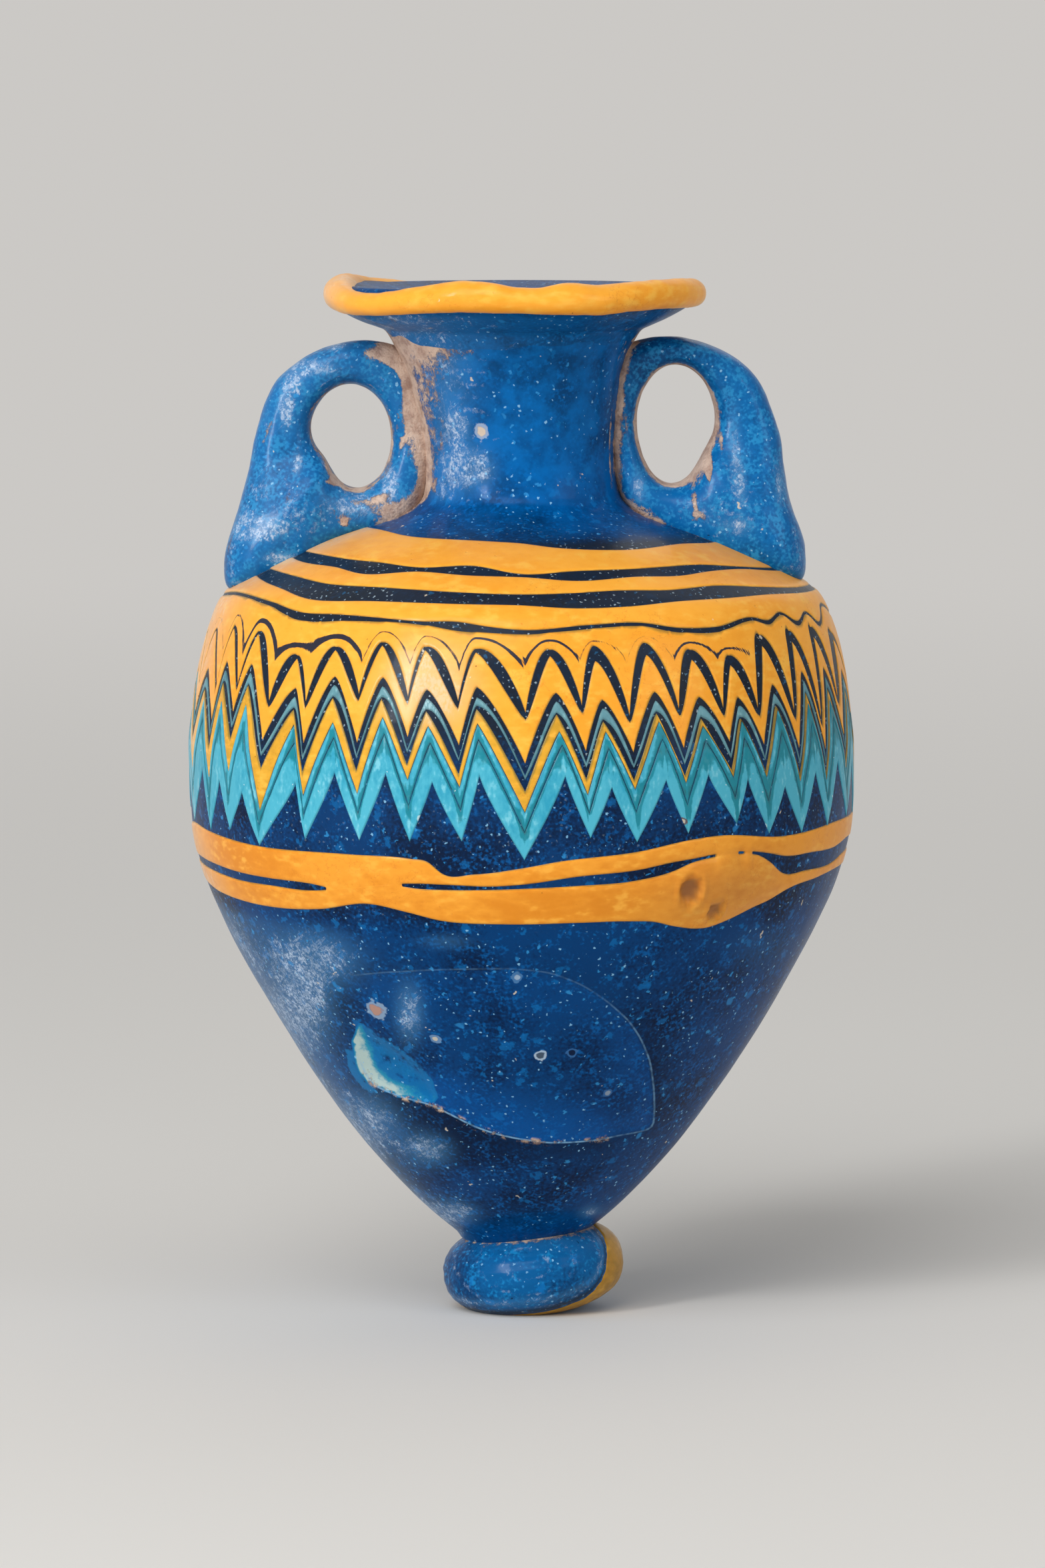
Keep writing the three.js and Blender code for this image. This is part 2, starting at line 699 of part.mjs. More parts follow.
function knobBand(outer, inner, margin) {
  const columns = [];
  const half = (KNOB_TRAIL_WIDTH / 2 + margin) / knobSkin.length;
  for (let i = 0; i < KNOB_SIDES; i++) {
    const angle = (i * FULL_TURN) / KNOB_SIDES;
    const a = THREE.MathUtils.degToRad(angle);
    const slant = KNOB_TRAIL_SIDE_RISE * Math.sin(a) - KNOB_TRAIL_FRONT_DROP * Math.cos(a);
    const along = knobSkin.alongAt(KNOB_TRAIL_LEVEL + slant);
    columns.push({ top: { angle, along: along + half }, bottom: { angle, along: along - half } });
  }
  return toSolid(setAskew(ribbon(knobSkin, columns, outer, inner, 2, true)));
}

function knobGeometry() {
  const points = [];
  for (let i = 0; i <= KNOB_ROWS; i++) points.push(knobSkin.profileAt(i / KNOB_ROWS, 0));
  const ball = toSolid(setAskew(turned(points, KNOB_SIDES)));
  const bed = knobBand(-OVERRUN, BED_DEPTH, FIT);
  return toGeometry(ball.intersect(slab(0, KNOB_SEAT)).subtract(bed));
}

function knobTrailGeometry() {
  const band = knobBand(0, TRAIL_THICKNESS, 0);
  return toGeometry(band.intersect(slab(KNOB_TRAIL_LIFT, KNOB_SEAT - FIT)));
}

// Handles

// The ring's outer edge: points in the plane of the handle, out from its hole's middle and
// up, each with the rod's depth there.
function handleEdge(handle, padDirection, padDistance) {
  const { innerLimb, outerLimb, limbDepth, archShares } = handle;
  const bite = innerLimb + HANDLE_BITE;
  const arch = archShares.map((share) => share * outerLimb);
  const widths = [...arch, bite, bite, bite + HANDLE_BITE, outerLimb];
  const place = (angle, distance, depthShare) => {
    const a = THREE.MathUtils.degToRad(angle);
    return new THREE.Vector3(
      distance * Math.cos(a),
      distance * Math.sin(a),
      (depthShare * limbDepth) / 2,
    );
  };
  const points = RING_DEPTH_SHARES.map(({ angle, depthShare }, i) =>
    place(angle, holeRadius(handle, angle) + widths[i], depthShare),
  );
  for (const { turn, reachShare, depthShare } of PAD_SHARES) {
    points.push(place(FULL_TURN + padDirection + turn, padDistance * reachShare, depthShare));
  }
  return new THREE.CatmullRomCurve3(points, true, "centripetal");
}

// Distance from the middle of the hole to its edge, which is an oval a little like an egg,
// pinched at its outer foot where the pad fills it.
function holeRadius({ holeHalfWidth, holeHalfHeight, eggShare, pinchShare }, angle) {
  const a = THREE.MathUtils.degToRad(angle);
  const oval = 1 / Math.hypot(Math.cos(a) / holeHalfWidth, Math.sin(a) / holeHalfHeight);
  const pinch = Math.max(0, Math.cos(a + Math.PI / 4)) ** 4;
  return oval * (1 + eggShare * Math.sin(a) - pinchShare * pinch);
}

function handleGeometry(handle) {
  const { side, holeHalfWidth, holeRise, innerLimb, padReachShare } = handle;
  const middleOut = NECK_RADIUS + innerLimb + holeHalfWidth;
  const middleUp = NECK_ROOT + holeRise;
  const padRadius = padReachShare * BELLY_RADIUS;
  const landing = shoulderAt(padRadius);
  const padDirection = THREE.MathUtils.radToDeg(
    Math.atan2(landing - middleUp, padRadius - middleOut),
  );
  const padDistance = Math.hypot(landing - middleUp, padRadius - middleOut);
  const edge = handleEdge(handle, padDirection, padDistance);
  const sections = [];
  for (let i = 0; i < HANDLE_STEPS; i++) {
    const outer = edge.getPoint(i / HANDLE_STEPS);
    const reach = Math.hypot(outer.x, outer.y);
    const direction = Math.atan2(outer.y, outer.x);
    const hole = holeRadius(handle, THREE.MathUtils.radToDeg(direction));
    const section = [];
    for (let j = 0; j < ROD_SIDES; j++) {
      const turn = (2 * Math.PI * j) / ROD_SIDES;
      const out = (hole + reach) / 2 + ((reach - hole) / 2) * Math.cos(turn);
      section.push(
        new THREE.Vector3(
          side * (middleOut + out * Math.cos(direction)),
          outer.z * Math.sin(turn),
          middleUp + out * Math.sin(direction),
        ),
      );
    }
    sections.push(side > 0 ? section : section.reverse());
  }
  const ring = toSolid(loft(sections, true));
  const seat = toSolid(leanNeck(toGeometry(bodyBlank(FIT))));
  return toGeometry(ring.subtract(seat));
}

// Height of the shoulder at a radius.
function shoulderAt(radius) {
  let low = BELLY_LEVEL;
  let high = NECK_ROOT;
  for (let i = 0; i < BISECTIONS; i++) {
    const middle = (low + high) / 2;
    if (bodySkin.profileAt(bodySkin.alongAt(middle), 0).x > radius) low = middle;
    else high = middle;
  }
  return low;
}

// Assembly

const blueGlass = { color: 0x0d4a86, roughness: 0.22, metalness: 0 };
const yellowGlass = { color: 0xf2a030, roughness: 0.32, metalness: 0 };
const turquoiseGlass = { color: 0x4db4c4, roughness: 0.3, metalness: 0 };

function piece(name, geometry, finish) {
  const mesh = new THREE.Mesh(geometry, new THREE.MeshStandardMaterial(finish));
  mesh.name = name;
  mesh.geometry.computeVertexNormals();
  return mesh;
}

const rim = new THREE.Group();
rim.position.set(NECK_LEAN, 0, NECK_TOP);
rim.add(
  piece("rim_disc", rimDiscGeometry(), blueGlass),
  piece("rim_trail", toGeometry(roll(0)), yellowGlass),
);

const combed = COLUMNS_PER_STROKE / 2;
const yellowEnd = PLAIN_TURNS + 2;
const turquoiseStart = yellowEnd + 2;
const turns = LINES.length - 1;
const trails = new THREE.Group();
trails.add(
  piece("shoulder_trail", toGeometry(woundTrail(0, PLAIN_TURNS, combed)), yellowGlass),
  piece("zigzag_yellow_trail", toGeometry(woundTrail(PLAIN_TURNS, yellowEnd, 1)), yellowGlass),
  piece(
    "zigzag_turquoise_thread",
    toGeometry(woundTrail(yellowEnd, yellowEnd + 1, combed)),
    turquoiseGlass,
  ),
  piece(
    "zigzag_yellow_thread",
    toGeometry(woundTrail(yellowEnd + 1, turquoiseStart, combed)),
    yellowGlass,
  ),
  piece(
    "zigzag_turquoise_trail",
    toGeometry(woundTrail(turquoiseStart, turns, combed)),
    turquoiseGlass,
  ),
  piece("lower_trail", lowerTrailGeometry(), yellowGlass),
);

const foot = new THREE.Group();
foot.add(
  piece("base_knob", knobGeometry(), blueGlass),
  piece("knob_trail", knobTrailGeometry(), yellowGlass),
);

const amphoriskos = new THREE.Group();
amphoriskos.add(
  piece("vessel_body", bodyGeometry(), blueGlass),
  piece("handle_left", handleGeometry(LEFT_HANDLE), blueGlass),
  piece("handle_right", handleGeometry(RIGHT_HANDLE), blueGlass),
  rim,
  trails,
  foot,
);

export default amphoriskos;
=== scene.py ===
"""A core-formed glass amphoriskos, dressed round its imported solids.

Lengths are in millimetres and angles in degrees, counted round the upright axis from the
front towards the right-hand handle, unless a name says otherwise. The meshes are laid out
in millimetres and scaled to metres where they become pieces.
"""
import logging
import math
from collections.abc import Callable, Sequence
from dataclasses import dataclass, field
from enum import Enum
from typing import Any, Union

import bmesh
import bpy
import numpy as np
from bpy.types import Light, Material, Mesh, Node, NodeSocket, NodeTree, Object
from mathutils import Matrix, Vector
from mathutils.bvhtree import BVHTree


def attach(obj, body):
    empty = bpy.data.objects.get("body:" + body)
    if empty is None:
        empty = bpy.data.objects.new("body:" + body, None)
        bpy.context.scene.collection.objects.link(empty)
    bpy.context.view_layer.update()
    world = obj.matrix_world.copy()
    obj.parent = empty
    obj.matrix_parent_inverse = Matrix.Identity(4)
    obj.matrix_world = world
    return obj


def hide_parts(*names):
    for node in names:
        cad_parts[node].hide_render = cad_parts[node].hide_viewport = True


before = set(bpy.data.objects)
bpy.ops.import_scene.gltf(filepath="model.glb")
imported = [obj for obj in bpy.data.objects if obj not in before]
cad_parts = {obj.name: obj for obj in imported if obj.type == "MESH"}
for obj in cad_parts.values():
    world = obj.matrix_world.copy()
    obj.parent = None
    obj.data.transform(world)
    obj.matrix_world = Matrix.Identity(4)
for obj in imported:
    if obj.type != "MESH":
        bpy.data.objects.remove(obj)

Array = np.ndarray
Feed = Union[Node, NodeSocket]
LOG = logging.getLogger("amphoriskos")
MM = 0.001
TURN = 2 * math.pi
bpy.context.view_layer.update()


class Slot(Enum):
    """The record's material slots."""

    BLUE = "blue_glass"
    YELLOW = "yellow_glass"
    TURQUOISE = "turquoise_glass"


class Side(Enum):
    """The side of the neck that a handle stands on."""

    LEFT = -1
    RIGHT = 1


def eased(value: Array, low: float, high: float) -> Array:
    """Smooth step of an array from 0 at low to 1 at high."""
    share = np.clip((value - low) / (high - low), 0, 1)
    return share * share * (3 - 2 * share)


def bell(value: Array, middle: float, half: float) -> Array:
    """A smooth bump of height 1 at middle that is nearly gone two halves away."""
    return np.exp(-(((value - middle) / half) ** 2))


def curve_through(stations: Sequence[Sequence[float]], column: int, at: Array) -> Array:
    """Smooth values through listed stations.

    Args:
        stations: rows whose first number is the place.
        column: which number of a row is the value.
        at: the places wanted.

    Returns:
        The values, held level past both ends.
    """
    xs = np.array([row[0] for row in stations], float)
    ys = np.array([row[column] for row in stations], float)
    slopes = np.gradient(ys, xs)
    x = np.clip(at, xs[0], xs[-1])
    i = np.clip(np.searchsorted(xs, x, side="right") - 1, 0, len(xs) - 2)
    gap = xs[i + 1] - xs[i]
    t = (x - xs[i]) / gap
    return (
        (2 * t**3 - 3 * t**2 + 1) * ys[i]
        + (t**3 - 2 * t**2 + t) * gap * slopes[i]
        + (3 * t**2 - 2 * t**3) * ys[i + 1]
        + (t**3 - t**2) * gap * slopes[i + 1]
    )


def wrapped(angle: Array) -> Array:
    """Angles brought into the range from -180 to 180."""
    return (np.asarray(angle, float) + 180) % 360 - 180


def turn_of(points: Array) -> Array:
    """The angle round the axis of each point."""
    return np.degrees(np.arctan2(points[:, 0], -points[:, 1]))


def on_circle(angle: Array, radius: Array, height: Array) -> Array:
    """Points at angles round the axis, at radii and heights."""
    a = np.radians(angle)
    return np.stack(np.broadcast_arrays(radius * np.sin(a), -radius * np.cos(a), height), axis=-1)


def linear(colour: str) -> tuple[float, float, float, float]:
    """A colour written as six hex digits, for a colour socket.

    Args:
        colour: red, green and blue, two digits each.

    Returns:
        Red, green, blue and full cover.
    """
    parts = [int(colour[i : i + 2], 16) / 255 for i in (0, 2, 4)]
    r, g, b = (c / 12.92 if c <= 0.04045 else ((c + 0.055) / 1.055) ** 2.4 for c in parts)
    return (r, g, b, 1.0)


# Wiring of node trees


class Wiring:
    """Short calls that add nodes to one tree and link them."""

    def __init__(self, tree: NodeTree) -> None:
        """Works on the given tree."""
        self.tree = tree

    def put(self, socket: NodeSocket, value: Any) -> None:
        """Links a socket to another or to a node's first output, or sets its value.

        Args:
            socket: the socket to fill.
            value: a socket, a node or a plain value.
        """
        if isinstance(value, Node):
            value = value.outputs[0]
        if isinstance(value, NodeSocket):
            self.tree.links.new(value, socket)
        else:
            socket.default_value = value

    def add(self, kind: str, inputs: dict | None = None, **settings: Any) -> Node:
        """Adds a node.

        Args:
            kind: the node's type.
            inputs: sockets, by name or number, and what goes into them.
            settings: the node's own properties.

        Returns:
            The node.
        """
        node = self.tree.nodes.new(kind)
        for name, value in settings.items():
            setattr(node, name, value)
        for key, value in (inputs or {}).items():
            self.put(node.inputs[key], value)
        return node

    def math(self, operation: str, a: Any, b: Any = 0.0, c: Any = 0.0) -> Feed:
        """The result of a sum."""
        return self.add("ShaderNodeMath", {0: a, 1: b, 2: c}, operation=operation)

    def times(self, a: Any, b: Any) -> Feed:
        """One value times another."""
        return self.math("MULTIPLY", a, b)

    def fit(self, value: Any, slope: Any, start: Any) -> Feed:
        """A value times a slope, and a start."""
        return self.math("MULTIPLY_ADD", value, slope, start)

    def plus(self, a: Any, b: Any) -> Feed:
        """One value and another."""
        return self.math("ADD", a, b)

    def minus(self, a: Any, b: Any) -> Feed:
        """One value less another."""
        return self.math("SUBTRACT", a, b)

    def larger(self, a: Any, b: Any) -> Feed:
        """The larger of two values."""
        return self.math("MAXIMUM", a, b)

    def ratio(self, a: Any, b: Any) -> Feed:
        """One value divided by another."""
        return self.math("DIVIDE", a, b)

    def vector(self, operation: str, a: Any, b: Any = (0, 0, 0)) -> Feed:
        """The result of a sum of vectors."""
        return self.add("ShaderNodeVectorMath", {0: a, 1: b}, operation=operation)

    def scaled(self, a: Any, factor: Any) -> Feed:
        """A vector times a number."""
        node = self.add("ShaderNodeVectorMath", {0: a, "Scale": factor}, operation="SCALE")
        return node

    def step(self, value: Any, low: Any, high: Any) -> Feed:
        """Smooth step of a value, from 0 at low to 1 at high."""
        ends = {"Value": value, "From Min": low, "From Max": high}
        return self.add("ShaderNodeMapRange", ends, interpolation_type="SMOOTHSTEP")

    def blend(self, share: Any, a: Any, b: Any) -> Feed:
        """Colour a, mixed with a share of colour b.

        Args:
            share: how much of b, from 0 to 1.
            a: the first colour.
            b: the second colour.

        Returns:
            The mixed colour.
        """
        node = self.add("ShaderNodeMix", data_type="RGBA")
        self.put(node.inputs[0], share)
        self.put(node.inputs[6], a)
        self.put(node.inputs[7], b)
        return node.outputs[2]

    def noise(
        self, place: Any, scale: Any, detail: float = 3.0, seed: float = 0.0, rough: float = 0.5
    ) -> Feed:
        """Noise from 0 to 1, most of it near a half."""
        inputs = {"Vector": place, "W": seed, "Scale": scale, "Detail": detail, "Roughness": rough}
        return self.add("ShaderNodeTexNoise", inputs, noise_dimensions="4D")

    def attribute(self, name: str) -> Feed:
        """A number stored on the piece's points."""
        return self.add("ShaderNodeAttribute", attribute_name=name).outputs["Fac"]

    def group(self, tree: NodeTree, inputs: dict) -> Node:
        """Places a group in the tree.

        Args:
            tree: the group to place.
            inputs: its inputs by name, and what goes into them.

        Returns:
            The group's node.
        """
        kind = "GeometryNodeGroup" if self.tree.type == "GEOMETRY" else "ShaderNodeGroup"
        node = self.tree.nodes.new(kind)
        node.node_tree = tree
        for key, value in inputs.items():
            self.put(node.inputs[key], value)
        return node


SOCKETS = {float: "Float", int: "Int", tuple: "Vector"}


def new_tree(name: str, kind: str, inputs: dict, outputs: dict) -> tuple[Wiring, Any, Any]:
    """Starts a node group.

    Args:
        name: its name.
        kind: "ShaderNodeTree" or "GeometryNodeTree".
        inputs: socket names, each with its default, or with its type where it has none.
        outputs: socket names and types.

    Returns:
        Its wiring, the outputs of its input node, and the inputs of its output node.
    """
    tree = bpy.data.node_groups.new(name, kind)
    for title, given in inputs.items():
        socket = "NodeSocket" + (given if isinstance(given, str) else SOCKETS[type(given)])
        made = tree.interface.new_socket(name=title, in_out="INPUT", socket_type=socket)
        if not isinstance(given, str):
            made.default_value = given
    for title, socket in outputs.items():
        tree.interface.new_socket(name=title, in_out="OUTPUT", socket_type="NodeSocket" + socket)
    source = tree.nodes.new("NodeGroupInput")
    sink = tree.nodes.new("NodeGroupOutput")
    return Wiring(tree), source.outputs, sink.inputs


# Forms: trees that shape the glass


RIPPLE_INPUTS = {"Ripple Size": 9.0, "Ripple Height": 0.1, "Seed": 1.0}


class Forms:
    """Geometry Nodes trees for turned, laid, rolled and pressed glass, in millimetres."""

    def __init__(self) -> None:
        """Builds the trees once."""
        self.ripple = self._ripple()
        self.turned = self._turned()
        self.laid = self._laid()
        self.rolled = self._rolled()
        self.pressed = self._pressed()

    def _ripple(self) -> NodeTree:
        """Slow unevenness of a surface worked by hand: a height at each place.

        Returns:
            The tree.
        """
        inputs = {"Place": "Vector", **RIPPLE_INPUTS}
        wire, source, sink = new_tree(
            "hand_ripple", "GeometryNodeTree", inputs, {"Height": "Float"}
        )
        scale = wire.ratio(1.0, source["Ripple Size"])
        slow = wire.noise(source["Place"], scale, 2.0, source["Seed"])
        centred = wire.minus(slow, 0.5)
        height = wire.times(centred, wire.times(source["Ripple Height"], 4.0))
        wire.put(sink["Height"], height)
        return wire.tree

    def _end(self, wire: Wiring, shape: Any, source: Any, sink: Any) -> NodeTree:
        """Scales a shape to metres and gives it its glass, as every tree here ends.

        Args:
            wire: the tree's wiring.
            shape: the geometry.
            source: the outputs of the tree's input node.
            sink: the inputs of the tree's output node.

        Returns:
            The tree.
        """
        small = wire.add("GeometryNodeTransform", {"Geometry": shape, "Scale": (MM, MM, MM)})
        smooth = wire.add("GeometryNodeSetShadeSmooth", {"Geometry": small})
        real = wire.add("GeometryNodeRealizeInstances", {"Geometry": smooth})
        glass = wire.add(
            "GeometryNodeSetMaterial", {"Geometry": real, "Material": source["Glass"]}
        )
        wire.put(sink["Geometry"], glass)
        return wire.tree

    def _rippled(self, wire: Wiring, source: Any, place: Any) -> Feed:
        """The ripple's height at a place, with the tree's own ripple sizes."""
        inputs = {name: source[name] for name in RIPPLE_INPUTS}
        return wire.group(self.ripple, {"Place": place, **inputs})

    def _round(self, wire: Wiring, angle: Any, radius: Any, height: Any) -> Feed:
        """A place at an angle in radians round the axis.

        Args:
            wire: the tree's wiring.
            angle: the angle in radians.
            radius: the radius.
            height: the height.

        Returns:
            The place.
        """
        x = wire.times(radius, wire.math("SINE", angle))
        y = wire.times(radius, wire.times(wire.math("COSINE", angle), -1.0))
        return wire.add("ShaderNodeCombineXYZ", {0: x, 1: y, 2: height})

    def _pushed(self, wire: Wiring, shape: Any, source: Any) -> Feed:
        """A shape of the body's kind with its ripple, out from the axis.

        Args:
            wire: the tree's wiring.
            shape: the geometry.
            source: the outputs of the tree's input node.

        Returns:
            The geometry with its points moved.
        """
        place = wire.add("GeometryNodeInputPosition")
        flat = wire.vector("MULTIPLY", place, (1, 1, 0))
        out = wire.vector("NORMALIZE", flat)
        offset = wire.scaled(out, self._rippled(wire, source, place))
        moved = wire.add("GeometryNodeSetPosition", {"Geometry": shape, "Offset": offset})
        return moved

    def _turned(self) -> NodeTree:
        """An outline, given as a row of points, turned round the axis.

        Returns:
            The tree.
        """
        inputs = {
            "Geometry": "Geometry", "Sides": 64, **RIPPLE_INPUTS,
            "Glass": "Material",
        }
        wire, source, sink = new_tree(
            "turned_glass", "GeometryNodeTree", inputs, {"Geometry": "Geometry"}
        )
        count = wire.add("GeometryNodeAttributeDomainSize", {"Geometry": source["Geometry"]})
        columns = wire.plus(source["Sides"], 1.0)
        grid = wire.add(
            "GeometryNodeMeshGrid",
            {"Size X": 1.0, "Size Y": 1.0, "Vertices X": columns, "Vertices Y": count}
        )
        place = wire.add("GeometryNodeInputPosition")
        parts = wire.add("ShaderNodeSeparateXYZ", {0: place}).outputs
        last = wire.minus(count, 1.0)
        row = wire.math("ROUND", wire.times(wire.plus(parts[1], 0.5), last))
        sample = wire.add(
            "GeometryNodeSampleIndex", {"Geometry": source["Geometry"], "Index": row},
            data_type="FLOAT_VECTOR", domain="POINT",
        )
        wire.put(next(s for s in sample.inputs if s.name == "Value" and s.enabled), place)
        out = wire.add("ShaderNodeSeparateXYZ", {0: sample}).outputs
        angle = wire.times(parts[0], TURN)
        spun = wire.add(
            "GeometryNodeSetPosition",
            {"Geometry": grid, "Position": self._round(wire, angle, out[0], out[2])},
        )
        welded = wire.add("GeometryNodeMergeByDistance", {"Geometry": spun, "Distance": MM})
        return self._end(wire, self._pushed(wire, welded, source), source, sink)

    def _laid(self) -> NodeTree:
        """A strip laid out flat as angle, share along an outline and depth, wrapped on its skin.

        Returns:
            The tree.
        """
        inputs = {
            "Geometry": "Geometry", "Outline": "Object", **RIPPLE_INPUTS,
            "Glass": "Material",
        }
        wire, source, sink = new_tree(
            "laid_trail", "GeometryNodeTree", inputs, {"Geometry": "Geometry"}
        )
        outline = wire.add("GeometryNodeObjectInfo", {"Object": source["Outline"]})
        curve = wire.add("GeometryNodeMeshToCurve", {"Mesh": outline.outputs["Geometry"]})
        place = wire.add("GeometryNodeInputPosition")
        angle, along, depth = wire.add("ShaderNodeSeparateXYZ", {0: place}).outputs[:3]
        sample = wire.add(
            "GeometryNodeSampleCurve", {"Curves": curve, "Factor": along}, mode="FACTOR"
        )
        at = wire.add("ShaderNodeSeparateXYZ", {0: sample.outputs["Position"]}).outputs
        way = wire.add("ShaderNodeSeparateXYZ", {0: sample.outputs["Tangent"]}).outputs
        radius = wire.minus(at[0], wire.times(depth, way[2]))
        height = wire.plus(at[2], wire.times(depth, way[0]))
        wrapped_on = wire.add(
            "GeometryNodeSetPosition",
            {"Geometry": source["Geometry"], "Position": self._round(wire, angle, radius, height)},
        )
        return self._end(wire, self._pushed(wire, wrapped_on, source), source, sink)

    def _rolled(self) -> NodeTree:
        """A rod that follows a closed path, as thick as the path's own attribute says.

        Returns:
            The tree.
        """
        inputs = {
            "Geometry": "Geometry", "Sides": 32, "Oval": 1.0,
            **RIPPLE_INPUTS, "Glass": "Material",
        }
        wire, source, sink = new_tree(
            "rolled_trail", "GeometryNodeTree", inputs, {"Geometry": "Geometry"}
        )
        curve = wire.add("GeometryNodeMeshToCurve", {"Mesh": source["Geometry"]})
        upright = wire.add("GeometryNodeSetCurveNormal", {"Curve": curve}, mode="Z_UP")
        thick = wire.add("GeometryNodeInputNamedAttribute", {"Name": "thick"}, data_type="FLOAT")
        circle = wire.add(
            "GeometryNodeCurvePrimitiveCircle", {"Resolution": source["Sides"], "Radius": 1.0}
        )
        stretch = wire.add("ShaderNodeCombineXYZ", {0: source["Oval"], 1: 1.0, 2: 1.0})
        section = wire.add(
            "GeometryNodeTransform", {"Geometry": circle, "Scale": stretch}
        )
        parts = {"Curve": upright, "Profile Curve": section, "Scale": thick}
        rod = wire.add("GeometryNodeCurveToMesh", parts)
        return self._end(wire, self._lumpy(wire, rod, source), source, sink)

    def _lumpy(self, wire: Wiring, shape: Any, source: Any) -> Feed:
        """A shape with its ripple along its own normals.

        Args:
            wire: the tree's wiring.
            shape: the geometry.
            source: the outputs of the tree's input node.

        Returns:
            The geometry with its points moved.
        """
        place = wire.add("GeometryNodeInputPosition")
        normal = wire.add("GeometryNodeInputNormal")
        offset = wire.scaled(normal, self._rippled(wire, source, place))
        moved = wire.add("GeometryNodeSetPosition", {"Geometry": shape, "Offset": offset})
        return moved

    def _pressed(self) -> NodeTree:
        """A shape made by hand, with its ripple.

        Returns:
            The tree.
        """
        inputs = {"Geometry": "Geometry", **RIPPLE_INPUTS, "Glass": "Material"}
        wire, source, sink = new_tree(
            "pressed_glass", "GeometryNodeTree", inputs, {"Geometry": "Geometry"}
        )
        return self._end(wire, self._lumpy(wire, source["Geometry"], source), source, sink)


def loose_object(name: str, points: Array, edges: Any, faces: Any) -> Object:
    """A new object in the scene with a mesh of its own.

    Args:
        name: its name.
        points: points in millimetres, one row each.
        edges: pairs of point numbers.
        faces: lists of point numbers.

    Returns:
        The object.
    """
    mesh = bpy.data.meshes.new(name)
    mesh.from_pydata(np.asarray(points).reshape(-1, 3).tolist(), edges, faces)
    made = bpy.data.objects.new(name, mesh)
    bpy.context.scene.collection.objects.link(made)
    return made


def store(mesh: Mesh, name: str, values: Array) -> None:
    """Stores a number on each point of a mesh."""
    attribute = mesh.attributes.get(name) or mesh.attributes.new(name, "FLOAT", "POINT")
    attribute.data.foreach_set("value", np.asarray(values, np.float32).ravel())


def points_of(piece: Object) -> Array:
    """The points of a piece, in millimetres.

    Args:
        piece: the piece.

    Returns:
        One row for each point.
    """
    flat = np.zeros(len(piece.data.vertices) * 3, np.float32)
    piece.data.vertices.foreach_get("co", flat)
    return flat.reshape(-1, 3).astype(float) / MM


def move_points(piece: Object, points: Array) -> None:
    """Gives a piece new places for its points, in millimetres."""
    piece.data.vertices.foreach_set("co", (points * MM).astype(np.float32).ravel())
    piece.data.update()


def row_object(name: str, points: Array, closed: bool = False) -> Object:
    """A row of points joined by edges, as an outline or a path.

    Args:
        name: its name.
        points: points in millimetres, one row each.
        closed: whether the last point joins the first.

    Returns:
        The object.
    """
    count = len(points)
    edges = [(i, i + 1) for i in range(count - 1)] + ([(count - 1, 0)] if closed else [])
    return loose_object(name, points, edges, [])


def outline_object(name: str, radius: Array, height: Array) -> Object:
    """An outline, from its radii and heights, to be turned or to lay trails on."""
    return row_object(name, np.stack([radius, 0 * radius, height], axis=-1))


def skin_object(
    name: str, sections: Array, closed: bool, fields: dict[str, Array]
) -> Object:
    """Skins rows of points into one closed shell.

    Args:
        name: the object's name.
        sections: the points, by section, place round the section, and axis.
        closed: whether the last section joins the first. Otherwise both ends are capped.
        fields: numbers to store, by section and place.

    Returns:
        The object.
    """
    rows, ring = sections.shape[:2]
    index = np.arange(rows * ring).reshape(rows, ring)
    ahead = np.roll(index, -1, axis=1)
    stop = rows if closed else rows - 1
    below, below_ahead = np.roll(index, -1, axis=0), np.roll(ahead, -1, axis=0)
    corners = [part[:stop] for part in (index, ahead, below_ahead, below)]
    faces = np.stack(corners, axis=-1).reshape(-1, 4).tolist()
    if not closed:
        faces += [index[0, ::-1].tolist(), index[-1].tolist()]
    made = loose_object(name, sections, [], faces)
    for title, values in fields.items():
        store(made.data, title, values)
    return made


def laid_strip(
    name: str, places: tuple, thickness: float, closed: bool, fields: dict[str, Array]
) -> Object:
    """A strip of glass laid out flat, to be wrapped on a skin.

    Args:
        name: the object's name.
        places: angle, share along the outline and depth, by section and place.
        thickness: how deep its underside lies.
        closed: whether it runs all round and meets itself.
        fields: numbers to store, by section and place.

    Returns:
        The object.
    """

    def wrapped_under(values: Array) -> Array:
        """Values carried on to the two lines of the underside."""
        return np.hstack([values, values[:, -1:], values[:, :1]])

    angle, along, depth = places
    deep = np.hstack([depth, np.full((len(depth), 2), thickness)])
    sections = np.stack([np.radians(wrapped_under(angle)), wrapped_under(along), deep], axis=-1)
    return skin_object(name, sections, closed, {k: wrapped_under(f) for k, f in fields.items()})


def formed(holder: Object, tree: NodeTree, values: dict) -> Object:
    """Runs a tree on an object and keeps the plain mesh that comes out.

    Args:
        holder: the object whose mesh goes in.
        tree: the Geometry Nodes tree.
        values: its inputs, by name.

    Returns:
        The same object with the new mesh, its faces pointing out.
    """
    modifier = holder.modifiers.new("form", "NODES")
    modifier.node_group = tree
    for item in tree.interface.items_tree:
        if item.item_type == "SOCKET" and item.in_out == "INPUT" and item.name in values:
            modifier[item.identifier] = values[item.name]
    graph = bpy.context.evaluated_depsgraph_get()
    result = bpy.data.meshes.new_from_object(
        holder.evaluated_get(graph), preserve_all_data_layers=True, depsgraph=graph
    )
    holder.modifiers.remove(modifier)
    result.name = holder.name
    holder.data = result
    face_out(result)
    return holder


